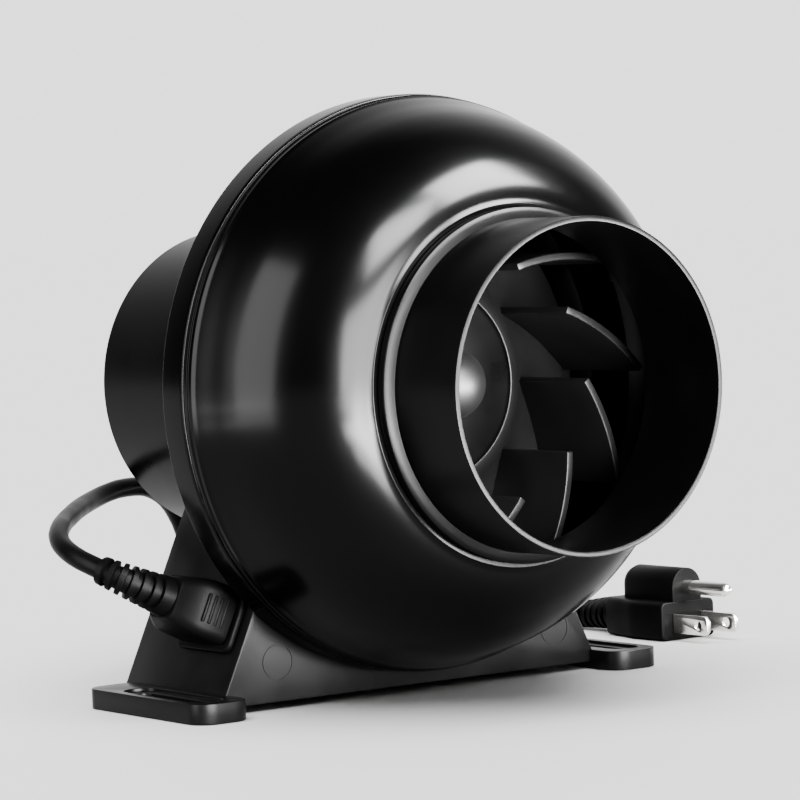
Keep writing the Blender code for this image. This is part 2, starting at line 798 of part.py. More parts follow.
def shaft_circlip():
    inner = SHAFT_R - CLIP_GROOVE + GAP
    outer = SHAFT_R + 1.7 * MM
    rear = CLIP_Y + CLIP_T
    profile = [(outer, rear), (outer, CLIP_Y), (inner, CLIP_Y), (inner, rear)]
    made = turned("shaft_circlip", profile, STEEL, 16, axle())

    def mouth(shape):
        block(shape, (-1.2 * MM, CLIP_Y - MM, AXIS_H), (1.2 * MM, rear + MM, AXIS_H + outer + MM))

    boolean(made, add("circlip_mouth", mesh_from("circlip_mouth", mouth)))
    return on_spin(made)


def hub_cap():
    """The rounded cap over the shaft's end."""
    seat = HUB_FRONT_Y + ROTOR_RECESS * 1.25 - GAP
    pocket_r = SHAFT_R + GAP
    dome = []
    steps = 6
    for step in range(steps + 1):
        angle = math.radians(90) * step / steps
        dome.append((CAP_R * math.cos(angle), seat - CAP_STRAIGHT - CAP_R * math.sin(angle)))
    dome[-1] = (0.0, dome[-1][1])
    profile = [
        (CAP_R, seat),
        *dome,
        (0.0, SHAFT_FRONT_Y - GAP),
        (pocket_r, SHAFT_FRONT_Y - GAP),
        (pocket_r, seat),
    ]
    return on_spin(smooth(turned("hub_cap", profile, GLOSS_BLACK, 24, axle())))


# Fixed half of the motor


TUBE_R = BEARING_R + GAP + TUBE_WALL
STATOR_BORE_R = TUBE_R + GAP
STATOR_R = CAGE_INNER_R - AIR_GAP


def motor_base():
    """Aluminium flange with the tube that holds both bearings and the stator."""
    seat_r = BEARING_R + GAP
    step_r = BEARING_R - 1.5 * MM
    rear = MOTOR_FLANGE_Y + MOTOR_FLANGE_T
    profile = [
        (MOTOR_FLANGE_R, rear),
        (MOTOR_FLANGE_R, MOTOR_FLANGE_Y),
        (TUBE_R, MOTOR_FLANGE_Y),
        (TUBE_R, BEARING_FRONT_Y - 0.6 * MM),
        (seat_r, BEARING_FRONT_Y - 0.6 * MM),
        (seat_r, BEARING_FRONT_Y + BEARING_W + GAP),
        (step_r, BEARING_FRONT_Y + BEARING_W + GAP),
        (step_r, BEARING_REAR_Y - GAP),
        (seat_r, BEARING_REAR_Y - GAP),
        (seat_r, rear),
    ]
    made = turned("motor_base", profile, ALUMINIUM, MOTOR_STEPS, axle())

    def holes(shape):
        for angle in around(MOTOR_SCREWS, MOTOR_SCREW_START):
            start = on_circle(MOTOR_SCREW_R, angle, MOTOR_FLANGE_Y - MM)
            end = on_circle(MOTOR_SCREW_R, angle, rear + MM)
            cylinder(shape, SCREW_SHANK_R + GAP, start, end, 8)
        start = on_circle(LEAD_EXIT_R, LEAD_ANGLE, MOTOR_FLANGE_Y - MM)
        cylinder(shape, LEAD_D / 2 + GAP, start, start + Vector((0, 6 * MM, 0)), 10)

    boolean(made, add("motor_base_holes", mesh_from("motor_base_holes", holes)))
    return smooth(made)


def stator_core():
    """The laminated stack with its twelve winding slots."""
    pitch = math.tau / STATOR_SLOTS
    half = pitch * SLOT_SHARE / 2
    outline = []
    for centre in around(STATOR_SLOTS, 0.0):
        mouth = pitch * 0.1
        for radius, angle in (
            (STATOR_R, centre - pitch / 2),
            (STATOR_R, centre - mouth),
            (SLOT_TOP_R, centre - mouth),
            (SLOT_TOP_R, centre - half),
            (SLOT_BOTTOM_R, centre - half),
            (SLOT_BOTTOM_R, centre + half),
            (SLOT_TOP_R, centre + half),
            (SLOT_TOP_R, centre + mouth),
            (STATOR_R, centre + mouth),
        ):
            outline.append((radius * math.cos(angle), radius * math.sin(angle)))
    stand = Matrix.Translation((0, 0, AXIS_H)) @ Matrix.Rotation(math.radians(90), 4, "X")
    mesh = mesh_from("stator_core", lambda shape: prism(shape, outline, -STACK_REAR_Y, -STACK_FRONT_Y, stand))
    made = add("stator_core", mesh, LAMINATION)

    def bore(shape):
        low = Vector((0, STACK_FRONT_Y - MM, AXIS_H))
        cylinder(shape, STATOR_BORE_R, low, (0, STACK_REAR_Y + MM, AXIS_H), MOTOR_STEPS)

    return boolean(made, add("stator_bore", mesh_from("stator_bore", bore)))


def stator_winding():
    """The copper winding: bars through the slots and an end turn on each face of the stack."""
    inner = SLOT_BOTTOM_R + GAP
    outer = SLOT_TOP_R - GAP
    front = STACK_FRONT_Y - GAP
    rear = STACK_REAR_Y + GAP
    ring = [
        (outer, front),
        (outer - 0.8 * MM, front - END_TURN),
        (inner + 0.8 * MM, front - END_TURN),
        (inner, front),
    ]
    made = turned("stator_winding", ring, COPPER, 24, axle())
    other = [
        (outer - 0.8 * MM, rear + END_TURN),
        (outer, rear),
        (inner, rear),
        (inner + 0.8 * MM, rear + END_TURN),
    ]
    boolean(made, turned("winding_rear_ring", other, None, 24, axle()), "UNION")

    def bars(shape):
        half = math.tau / STATOR_SLOTS * SLOT_SHARE / 2
        for angle in around(STATOR_SLOTS, 0.0):
            width = inner * math.sin(half) - GAP * 1.5
            turn = Matrix.Translation((0, 0, AXIS_H)) @ Matrix.Rotation(-angle, 4, "Y")
            low = (inner + GAP, front - MM, -width)
            block(shape, low, (outer - MM, rear + MM, width), turn)

    return boolean(made, add("winding_bars", mesh_from("winding_bars", bars)), "UNION")


def bearing(name, start):
    end = start + BEARING_W
    inner = SHAFT_R + GAP
    profile = [
        (BEARING_R, end - 0.4 * MM),
        (BEARING_R, start + 0.4 * MM),
        (BEARING_R - 0.4 * MM, start),
        (inner, start),
        (inner, end),
        (BEARING_R - 0.4 * MM, end),
    ]
    return smooth(turned(name, profile, STEEL, 20, axle()))


CUP_REAR_Y = MOTOR_FLANGE_Y + MOTOR_FLANGE_T + GAP + CUP_DISC_T


def motor_support():
    """Cup that holds the motor, eight straightening vanes and the ring that seats in the dome."""
    disc_front = CUP_REAR_Y - CUP_DISC_T
    inner = CUP_R - CUP_WALL
    profile = [
        (CUP_R, CUP_REAR_Y),
        (CUP_R, CUP_FRONT_Y),
        (inner, CUP_FRONT_Y),
        (inner, disc_front),
        (0.0, disc_front),
        (0.0, CUP_REAR_Y),
    ]
    made = turned("motor_support", profile, SATIN_BLACK, MOTOR_STEPS, axle())
    seat = CASING_WALL + GAP
    ys = [RING_REAR_Y, (RING_REAR_Y + RING_FRONT_Y) / 2, RING_FRONT_Y]
    outer_side = [(dome_radius(y, seat) - 0.1 * MM, y) for y in ys]
    inner_side = [(radius - RING_WALL, y) for radius, y in reversed(outer_side)]
    ring = turned("support_ring", outer_side + inner_side, None, CASING_STEPS, axle())
    boolean(made, ring, "UNION")

    def vanes(shape):
        reach = outer_side[0][0] - RING_WALL / 2
        for angle in around(VANES, VANE_START):
            turn = Matrix.Translation((0, 0, AXIS_H)) @ Matrix.Rotation(-angle, 4, "Y")
            low = (CUP_R - CUP_WALL / 2, RING_FRONT_Y + 0.5 * MM, -VANE_T / 2)
            block(shape, low, (reach, RING_REAR_Y - 0.5 * MM, VANE_T / 2), turn)

    boolean(made, add("support_vanes", mesh_from("support_vanes", vanes)), "UNION")

    def holes(shape):
        for angle in around(MOTOR_SCREWS, MOTOR_SCREW_START):
            start = on_circle(MOTOR_SCREW_R, angle, disc_front - MM)
            cylinder(shape, SCREW_SHANK_R + GAP, start, start + Vector((0, CUP_DISC_T + 2 * MM, 0)), 8)
        start = on_circle(LEAD_EXIT_R, LEAD_ANGLE, disc_front - MM)
        cylinder(shape, LEAD_D / 2 + GAP, start, start + Vector((0, CUP_DISC_T + 2 * MM, 0)), 10)

    boolean(made, add("support_holes", mesh_from("support_holes", holes)))
    return smooth(made, 30)


def motor_screws():
    for at, angle in enumerate(around(MOTOR_SCREWS, MOTOR_SCREW_START), 1):
        base = on_circle(MOTOR_SCREW_R, angle, CUP_REAR_Y + GAP)
        screw_piece(f"motor_screw_{at}", base, (0, -1, 0), MOTOR_SCREW_LENGTH)


# Wiring inside the casing and the base

LEAD_D = 4.6 * MM
LEAD_EXIT_R = 15.0 * MM
LEAD_ANGLE = math.radians(-90)
GROMMET_Y = 31.5 * MM
GROMMET_R = 4.0 * MM
GROMMET_FLANGE_R = 6.0 * MM
GROMMET_FLANGE_T = 1.6 * MM
BLOCK_LOW = (-8.0, 12.0)
BLOCK_SIZE = (26.0, 12.0, 11.0)
CAPACITOR_LOW = (30.0, 10.0)
CAPACITOR_SIZE = (24.0, 17.0, 13.5)
WIRE_D = 2.2 * MM


def lead_grommet():
    """The sleeve that guards the motor lead where it leaves the casing."""
    low = min(casing_bottom(0.0, GROMMET_Y - GROMMET_FLANGE_R), casing_bottom(0.0, GROMMET_Y))
    flange_top = low - 2 * GAP
    top = casing_bottom(0.0, GROMMET_Y + GROMMET_R, CASING_WALL) + MM
    bore = LEAD_D / 2 + GAP
    profile = [
        (GROMMET_R, top),
        (GROMMET_R, flange_top),
        (GROMMET_FLANGE_R, flange_top),
        (GROMMET_FLANGE_R, flange_top - GROMMET_FLANGE_T),
        (bore, flange_top - GROMMET_FLANGE_T),
        (bore, top),
    ]
    place = Matrix.Translation((0.0, GROMMET_Y, 0.0))
    return smooth(turned("lead_grommet", profile, RUBBER, 12, place))


def motor_lead():
    """The lead from the motor's flange, behind the support and down through the grommet."""
    y_out = (CUP_REAR_Y + 7 * MM) / MM
    top = AXIS_H / MM - LEAD_EXIT_R / MM
    block_rear = BLOCK_LOW[1] + BLOCK_SIZE[1] + GAP / MM
    block_mid = COVER_TOP / MM + BLOCK_SIZE[2] / 2
    route = [
        (0.0, MOTOR_FLANGE_Y / MM + 1.0, top),
        (0.0, y_out - 5.5, top),
        (0.0, y_out - 1.0, top - 2.4),
        (0.0, y_out, top - 8.0),
        (0.0, GROMMET_Y / MM, top - 18.0),
        (0.0, GROMMET_Y / MM, top - 45.0),
        (0.0, GROMMET_Y / MM, block_mid + 13.0),
        (0.0, GROMMET_Y / MM, block_mid + 8.0),
        (0.0, GROMMET_Y / MM - 0.9, block_mid + 3.6),
        (0.0, GROMMET_Y / MM - 3.2, block_mid + 0.9),
        (0.0, block_rear + 1.8, block_mid),
        (0.0, block_rear, block_mid),
    ]
    points = through(route, 4.5 * MM)
    points[-2] = points[-1] + Vector((0.0, 4 * MM, 0.0))
    return curve_piece("motor_lead", points, LEAD_D / 2, CORD_BLACK)


COVER_TOP = BASE_UNDER_Z + GAP + COVER_T


def terminal_block():
    x, y = BLOCK_LOW[0] * MM, BLOCK_LOW[1] * MM
    long, deep, high = (size * MM for size in BLOCK_SIZE)
    low = COVER_TOP + GAP
    made = add(
        "terminal_block",
        mesh_from("terminal_block", lambda shape: block(shape, (x, y, low), (x + long, y + deep, low + high))),
        WHITE_NYLON,
    )

    def notches(shape):
        for at in range(4):
            cut = x + long * (at + 1) / 5
            block(
                shape,
                (cut - 0.5 * MM, y - MM, low + high * 0.55),
                (cut + 0.5 * MM, y + deep + MM, low + high + MM),
            )

    return boolean(made, add("terminal_notches", mesh_from("terminal_notches", notches)))


def capacitor():
    x, y = CAPACITOR_LOW[0] * MM, CAPACITOR_LOW[1] * MM
    long, deep, high = (size * MM for size in CAPACITOR_SIZE)
    low = COVER_TOP + GAP
    build = mesh_from("capacitor", lambda shape: block(shape, (x, y, low), (x + long, y + deep, low + high)))
    made = add("capacitor", build, CAPACITOR_SHELL)
    bevel = made.modifiers.new("edges", "BEVEL")
    bevel.width = 0.8 * MM
    bevel.segments = 1
    return made


# Base


def half_width(z):
    """Half the base's width at a height, on the outside of its leaning sides."""
    return SIDE_FOOT_X - (z - PAD_T) * math.tan(SIDE_LEAN)


def trapezium(shape, low, high, front, rear, shrink=0.0):
    """The base's leaning body between two heights, with its sides moved in by shrink."""
    loft(
        shape,
        [
            [
                (-half_width(low) + shrink, y, low),
                (half_width(low) - shrink, y, low),
                (half_width(high) - shrink, y, high),
                (-half_width(high) + shrink, y, high),
            ]
            for y in (front, rear)
        ],
    )


def casing_cutter(name, clearance):
    """The space that the rear casing takes, a clearance larger all round."""
    outline = inset(DOME, -clearance)
    profile = [
        (0.0, LENGTH / 2),
        (SPIGOT_R + clearance, LENGTH / 2),
        *[point for point in reversed(outline) if point[0] > SPIGOT_R + clearance + 0.05 * MM],
        (outline[0][0], FLANGE_FRONT_Y),
        (0.0, FLANGE_FRONT_Y),
    ]
    return turned(name, profile, None, CASING_STEPS, axle())


def base_bracket():
    """The moulded base: leaning sides, saddle under the casing, screw columns and two slotted feet."""
    front = FLANGE_REAR_Y + GAP
    made = add(
        "base_bracket",
        mesh_from("base_bracket", lambda shape: trapezium(shape, BASE_UNDER_Z, BASE_TOP_Z, front, BASE_REAR_Y)),
        SATIN_BLACK,
    )
    side_shrink = BASE_WALL / math.cos(SIDE_LEAN)
    cavity = add(
        "base_cavity",
        mesh_from(
            "base_cavity",
            lambda shape: trapezium(
                shape, -MM, BASE_TOP_Z + MM, front + BASE_WALL, BASE_REAR_Y - BASE_WALL, side_shrink
            ),
        ),
    )
    boolean(cavity, casing_cutter("casing_and_saddle", GAP + SADDLE_WALL))
    boolean(made, cavity)

    def columns(shape):
        low = COVER_TOP + GAP
        for x, y in BASE_SCREWS_AT + COVER_SCREWS_AT:
            top = casing_bottom(x * MM, y * MM) + 3 * MM
            if abs(x) > COLUMN_SIDE_X:
                top = low + COVER_SCREW_LENGTH + 4 * MM
            cylinder(shape, BOSS_R, (x * MM, y * MM, low), (x * MM, y * MM, top), 10)

    boolean(made, add("base_columns", mesh_from("base_columns", columns)), "UNION")

    def ribs(shape):
        low = COVER_TOP + GAP
        for x, y in COVER_SCREWS_AT:
            if abs(x) > COLUMN_SIDE_X:
                block(
                    shape,
                    (x * MM - MM, y * MM, low),
                    (x * MM + MM, BASE_REAR_Y - BASE_WALL / 2, low + COVER_SCREW_LENGTH),
                )

    boolean(made, add("column_ribs", mesh_from("column_ribs", ribs)), "UNION")

    def feet(shape):
        half_x = (PAD_OUTER_X - PAD_INNER_X) / 2
        half_y = (PAD_REAR_Y - PAD_FRONT_Y) / 2
        outline = rounded(half_x, half_y, PAD_CORNER)
        for side in (-1, 1):
            place = Matrix.Translation((side * (PAD_INNER_X + half_x), PAD_FRONT_Y + half_y, 0.0))
            prism(shape, outline, 0.0, PAD_T, place)

    boolean(made, add("base_feet", mesh_from("base_feet", feet)), "UNION")
    boolean(made, casing_cutter("casing_space", GAP))

    def cuts(shape):
        for side in (-1, 1):
            place = Matrix.Translation((side * SLOT_X, SLOT_Y, 0.0))
            prism(shape, rounded(SLOT_W / 2, SLOT_L / 2, SLOT_W / 2 - 0.01 * MM), -MM, PAD_T + MM, place)
        for x, y in BASE_SCREWS_AT:
            top = casing_bottom(x * MM, y * MM)
            head = top - BASE_HEAD_DROP
            cylinder(shape, SCREW_SHANK_R + GAP, (x * MM, y * MM, head - MM), (x * MM, y * MM, top + 4 * MM), 8)
        for x, y in COVER_SCREWS_AT:
            top = COVER_TOP + COVER_SCREW_LENGTH
            cylinder(shape, SCREW_SHANK_R + GAP, (x * MM, y * MM, 0.0), (x * MM, y * MM, top), 8)
        low = casing_bottom(0.0, GROMMET_Y)
        cylinder(
            shape,
            GROMMET_FLANGE_R + 2 * GAP,
            (0.0, GROMMET_Y, low - 8 * MM),
            (0.0, GROMMET_Y, low + 10 * MM),
            12,
        )
        half_w, half_h = INLET_W / 2 + GAP, INLET_H / 2 + GAP
        block(shape, (-half_w, -half_h, -INLET_DEPTH), (half_w, half_h, 4 * MM), INLET)

    boolean(made, add("base_cuts", mesh_from("base_cuts", cuts)))

    def recesses(shape):
        for side in (-1, 1):
            place = Matrix.Translation((side * SLOT_X, SLOT_Y, 0.0))
            outline = rounded(RECESS_W / 2, RECESS_L / 2, RECESS_W / 2 - 0.01 * MM)
            prism(shape, outline, PAD_T - RECESS_DEPTH, PAD_T + MM, place)
        for x, y in BASE_SCREWS_AT:
            head = casing_bottom(x * MM, y * MM) - BASE_HEAD_DROP
            cylinder(shape, SCREW_HEAD_R + GAP, (x * MM, y * MM, 0.0), (x * MM, y * MM, head), 8)

    boolean(made, add("foot_recesses", mesh_from("foot_recesses", recesses)))
    return smooth(made, 30)


COLUMN_SIDE_X = 40.0
BASE_HEAD_DROP = 4.5 * MM


def base_screws():
    for at, place in enumerate(base_screw_places(), 1):
        base = place - Vector((0, 0, BASE_HEAD_DROP + GAP))
        screw_piece(f"base_screw_{at}", base, (0, 0, 1), BASE_SCREW_LENGTH)


def base_cover():
    """The plate that closes the base from below."""
    front = FLANGE_REAR_Y + GAP + BASE_WALL + GAP
    rear = BASE_REAR_Y - BASE_WALL - GAP
    low = BASE_UNDER_Z + GAP
    made = add(
        "base_cover",
        mesh_from(
            "base_cover",
            lambda shape: block(shape, (-COVER_HALF_X, front, low), (COVER_HALF_X, rear, low + COVER_T)),
        ),
        SATIN_BLACK,
    )

    def holes(shape):
        for x, y in COVER_SCREWS_AT:
            cylinder(shape, SCREW_SHANK_R + GAP, (x * MM, y * MM, 0.0), (x * MM, y * MM, low + 9 * MM), 8)
        for x, y in BASE_SCREWS_AT:
            cylinder(shape, SCREW_HEAD_R + GAP, (x * MM, y * MM, 0.0), (x * MM, y * MM, low + 9 * MM), 8)

    return boolean(made, add("cover_holes", mesh_from("cover_holes", holes)))


def cover_screws():
    for at, (x, y) in enumerate(COVER_SCREWS_AT, 1):
        base = (x * MM, y * MM, BASE_UNDER_Z)
        screw_piece(f"cover_screw_{at}", base, (0, 0, 1), COVER_SCREW_LENGTH)


# Mains inlet and connector

INLET_OUT = Vector((-math.cos(SIDE_LEAN), 0.0, math.sin(SIDE_LEAN)))
INLET_UP = Vector((math.sin(SIDE_LEAN), 0.0, math.cos(SIDE_LEAN)))
INLET_CENTRE = Vector((-half_width(INLET_Z), INLET_Y, INLET_Z))
# Own axes of the inlet: X along the fan's -Y, Y up the leaning side, Z straight out of it.
INLET = Matrix.Translation(INLET_CENTRE) @ Matrix(
    (
        (0.0, INLET_UP.x, INLET_OUT.x, 0.0),
        (-1.0, INLET_UP.y, INLET_OUT.y, 0.0),
        (0.0, INLET_UP.z, INLET_OUT.z, 0.0),
        (0.0, 0.0, 0.0, 1.0),
    )
)
PINS = {"neutral": (-PIN_PITCH, -PIN_RISE), "earth": (0.0, PIN_RISE), "line": (PIN_PITCH, -PIN_RISE)}


def iec_inlet():
    """The three-pin inlet, snapped into the side of the base."""

    def body(shape):
        block(
            shape,
            (-INLET_W / 2, -INLET_H / 2, -INLET_DEPTH),
            (INLET_W / 2, INLET_H / 2, GAP + BEZEL_T / 2),
            INLET,
        )

    made = add("iec_inlet", mesh_from("iec_inlet", body), SATIN_BLACK)

    def bezel(shape):
        prism(shape, rounded(BEZEL_W / 2, BEZEL_H / 2, 3 * MM, 2), GAP, GAP + BEZEL_T, INLET)

    boolean(made, add("inlet_bezel", mesh_from("inlet_bezel", bezel)), "UNION")

    def cuts(shape):
        block(
            shape,
            (-INLET_CAVITY_W / 2, -INLET_CAVITY_H / 2, -INLET_DEPTH + INLET_BACK),
            (INLET_CAVITY_W / 2, INLET_CAVITY_H / 2, 5 * MM),
            INLET,
        )

    boolean(made, add("inlet_cavity", mesh_from("inlet_cavity", cuts)))

    def slots(shape):
        for x, y in PINS.values():
            wide, tall = PIN_T / 2 + GAP, PIN_W / 2 + GAP
            low = (x - wide, y - tall, -INLET_DEPTH - MM)
            block(shape, low, (x + wide, y + tall, -INLET_DEPTH + INLET_BACK + MM), INLET)

    return boolean(made, add("inlet_slots", mesh_from("inlet_slots", slots)))


def inlet_pins():
    for name, (x, y) in PINS.items():

        def build(shape, x=x, y=y):
            low = (x - PIN_T / 2, y - PIN_W / 2, -INLET_DEPTH - PIN_TAIL)
            high = (x + PIN_T / 2, y + PIN_W / 2, -INLET_DEPTH + INLET_BACK + PIN_REACH)
            block(shape, low, high, INLET)

        add(f"inlet_pin_{name}", mesh_from(f"inlet_pin_{name}", build), NICKEL)


def connector_body():
    """The cord's socket connector, pushed into the inlet."""
    seat = GAP + BEZEL_T + GAP
    neck = CONNECTOR_OUT - 5 * MM

    def body(shape):
        sections = []
        for height, wide, tall in (
            (seat, CONNECTOR_W, CONNECTOR_H),
            (neck, CONNECTOR_W, CONNECTOR_H),
            (CONNECTOR_OUT, CONNECTOR_END_W, CONNECTOR_END_H),
        ):
            ring = rounded(wide / 2, tall / 2, 3 * MM, 2)
            sections.append([INLET @ Vector((x, y, height)) for x, y in ring])
        loft(shape, sections)

    made = add("connector_body", mesh_from("connector_body", body), SATIN_BLACK)

    def nose(shape):
        block(
            shape,
            (-PLUG_IN_W / 2, -PLUG_IN_H / 2, seat - PLUG_IN_DEPTH),
            (PLUG_IN_W / 2, PLUG_IN_H / 2, seat + MM),
            INLET,
        )

    boolean(made, add("connector_nose", mesh_from("connector_nose", nose)), "UNION")

    def sockets(shape):
        top = -INLET_DEPTH + INLET_BACK + PIN_REACH + GAP
        for x, y in PINS.values():
            wide, tall = PIN_T / 2 + GAP, PIN_W / 2 + GAP
            block(shape, (x - wide, y - tall, seat - PLUG_IN_DEPTH - MM), (x + wide, y + tall, top), INLET)

    boolean(made, add("connector_sockets", mesh_from("connector_sockets", sockets)))
    return smooth(made, 30)


def connector_strain_relief():
    """The tapered sleeve on the cord, bent towards the way the cord leaves."""
    start = INLET_CENTRE + INLET_OUT * (CONNECTOR_OUT + GAP)
    cord = through(UPPER_ROUTE, CORD_SAMPLE)
    end_dir = (cord[1] - cord[0]).normalized()
    points = joining(start, INLET_OUT, cord[0] - end_dir * GAP, end_dir, 7.5 * MM, 6)
    radii = [1.0 - (1.0 - RELIEF_END_R / CONNECTOR_RELIEF_R) * at / 6 for at in range(7)]
    return curve_piece("connector_strain_relief", points, CONNECTOR_RELIEF_R, SATIN_BLACK, radii)


def inlet_wires():
    """Three leads from the inlet's pins to the terminal block."""
    for at, (name, (x, y)) in enumerate(PINS.items()):
        tail = INLET @ Vector((x, y, -INLET_DEPTH - PIN_TAIL - GAP))
        inwards = -INLET_OUT
        rear = (BLOCK_LOW[1] + BLOCK_SIZE[1]) * MM
        end = Vector((BLOCK_LOW[0] * MM - GAP, rear - (2.6 + 3.4 * at) * MM, COVER_TOP + 5.5 * MM))
        points = joining(tail, inwards, end, Vector((1.0, 0.0, 0.0)), 12 * MM, 8)
        curve_piece(f"wire_{name}", points, WIRE_D / 2, WIRE_COLOURS[name])


# Mains lead


def mains_cord():
    curve_piece("cord_upper", through(UPPER_ROUTE, CORD_SAMPLE), CORD_D / 2, CORD_BLACK)
    curve_piece("cord_lower", through(LOWER_ROUTE, CORD_SAMPLE), CORD_D / 2, CORD_BLACK)


def cord_coil():
    """The wound-up length of the lead, as one ring, pinched where the tie holds it."""
    half = COIL_ROWS * CORD_D / 2 + 0.1 * MM
    top = COIL_LAYERS * CORD_D + 0.1 * MM
    soft = CORD_D / 2
    profile = [
        (COIL_R + half - soft / 2, top),
        (COIL_R + half, top - soft),
        (COIL_R + half, soft),
        (COIL_R + half - soft / 2, 0.0),
        (COIL_R - half + soft / 2, 0.0),
        (COIL_R - half, soft),
        (COIL_R - half, top - soft),
        (COIL_R - half + soft / 2, top),
    ]
    place = Matrix.Translation((COIL_X, COIL_Y, 0.0))
    made = turned("cord_coil", profile, CORD_BLACK, MOTOR_STEPS, place)

    def pinch(shape):
        span = TIE_W / 2 + GAP
        ring_low, ring_high = COIL_R - half, COIL_R + half
        depth = TIE_T + 2 * GAP
        turn = place @ Matrix.Rotation(TIE_ANGLE, 4, "Z")
        far = MM
        block(shape, (ring_low - far, -span, -far), (ring_high + far, span, depth), turn)
        block(shape, (ring_low - far, -span, top - depth), (ring_high + far, span, top + far), turn)

    boolean(made, add("tie_pinch", mesh_from("tie_pinch", pinch)))
    return smooth(made, 50)


def coil_tie():
    """The strap round one side of the coil."""
    half = COIL_ROWS * CORD_D / 2 + 0.1 * MM
    top = COIL_LAYERS * CORD_D + 0.1 * MM
    turn = Matrix.Translation((COIL_X, COIL_Y, 0.0)) @ Matrix.Rotation(TIE_ANGLE, 4, "Z")
    low_x, high_x = COIL_R - half - 3 * GAP, COIL_R + half + GAP
    made = add(
        "coil_tie",
        mesh_from(
            "coil_tie",
            lambda shape: block(
                shape, (low_x - TIE_T, -TIE_W / 2, GAP), (high_x + TIE_T, TIE_W / 2, top - GAP), turn
            ),
        ),
        RUBBER,
    )

    def inside(shape):
        block(shape, (low_x, -TIE_W, GAP + TIE_T), (high_x, TIE_W, top - GAP - TIE_T), turn)

    return boolean(made, add("tie_inside", mesh_from("tie_inside", inside)))


# Own axes of the plug: X to its right seen from behind, Y forwards out of the blades, Z up.
PLUG = Matrix.Translation((PLUG_X, PLUG_Y, 0.0)) @ Matrix.Rotation(math.pi + PLUG_YAW, 4, "Z")
GROUND_Z = BLADE_Z + GROUND_RISE


def plug_body():
    """A block for the blades with a round-topped rib above it for the ground pin."""

    def box(shape):
        sections = []
        for along, width in (
            (0.0, PLUG_WIDTH),
            (-PLUG_STRAIGHT, PLUG_WIDTH),
            (-PLUG_LENGTH, PLUG_REAR_WIDTH),
        ):
            ring = rounded(width / 2, PLUG_BOX_H / 2, 1.6 * MM, 1)
            sections.append([PLUG @ Vector((x, along, z + PLUG_BOX_H / 2)) for x, z in ring])
        loft(shape, sections)

    made = add("plug_body", mesh_from("plug_body", box), SATIN_BLACK)

    def barrel(shape):
        sections = []
        for along, radius in (
            (-0.4 * MM, PLUG_BARREL_R),
            (-PLUG_BARREL_L + 3.0 * MM, PLUG_BARREL_R),
            (-PLUG_BARREL_L + 0.8 * MM, PLUG_BARREL_R - 0.9 * MM),
            (-PLUG_BARREL_L, PLUG_BARREL_R - 3.0 * MM),
        ):
            ring = [PLUG @ Vector((radius, along, PLUG_BOX_H - MM))]
            for at in range(13):
                angle = math.pi * at / 12
                ring.append(
                    PLUG @ Vector((radius * math.cos(angle), along, GROUND_Z + radius * math.sin(angle)))
                )
            ring.append(PLUG @ Vector((-radius, along, PLUG_BOX_H - MM)))
            sections.append(ring)
        loft(shape, sections)

    boolean(made, add("plug_barrel", mesh_from("plug_barrel", barrel)), "UNION")

    def slots(shape):
        for side in (-1, 1):
            x = side * BLADE_PITCH / 2
            wide, tall = BLADE_THICK / 2 + GAP, BLADE_H / 2 + GAP
            low = (x - wide, -BLADE_IN - GAP, BLADE_Z - tall)
            block(shape, low, (x + wide, 2 * MM, BLADE_Z + tall), PLUG)
        start = PLUG @ Vector((0, -BLADE_IN - GAP, GROUND_Z))
        cylinder(shape, GROUND_R + GAP, start, PLUG @ Vector((0, 2 * MM, GROUND_Z)), 12)

    boolean(made, add("plug_slots", mesh_from("plug_slots", slots)))
    return smooth(made, 30)


def plug_blades():
    for name, side in (("line", 1), ("neutral", -1)):
        x = side * BLADE_PITCH / 2

        def build(shape, x=x):
            half = BLADE_THICK / 2
            outline = [
                (-BLADE_IN, -BLADE_H / 2),
                (BLADE_OUT - 1.2 * MM, -BLADE_H / 2),
                (BLADE_OUT, -BLADE_H / 2 + 1.2 * MM),
                (BLADE_OUT, BLADE_H / 2 - 1.2 * MM),
                (BLADE_OUT - 1.2 * MM, BLADE_H / 2),
                (-BLADE_IN, BLADE_H / 2),
            ]
            sections = []
            for across in (x - half, x + half):
                sections.append([PLUG @ Vector((across, along, BLADE_Z + z)) for along, z in outline])
            loft(shape, sections)

        made = add(f"plug_blade_{name}", mesh_from(f"plug_blade_{name}", build), NICKEL)

        def hole(shape, x=x):
            along = BLADE_OUT - 4.6 * MM
            start = PLUG @ Vector((x - 2 * MM, along, BLADE_Z))
            cylinder(shape, BLADE_HOLE_R, start, PLUG @ Vector((x + 2 * MM, along, BLADE_Z)), 12)

        boolean(made, add(f"blade_hole_{name}", mesh_from(f"blade_hole_{name}", hole)))


def plug_ground_pin():
    tip = GROUND_OUT
    profile = [(0.0, tip)]
    profile += [(GROUND_R * 0.5, tip - 0.3 * MM), (GROUND_R * 0.87, tip - 1.2 * MM), (GROUND_R, tip - 2.4 * MM)]
    profile += [(GROUND_R, -BLADE_IN), (0.0, -BLADE_IN)]
    place = PLUG @ Matrix.Translation((0, 0, GROUND_Z)) @ Matrix.Rotation(math.radians(-90), 4, "X")
    return smooth(turned("plug_ground_pin", profile, NICKEL, 16, place))


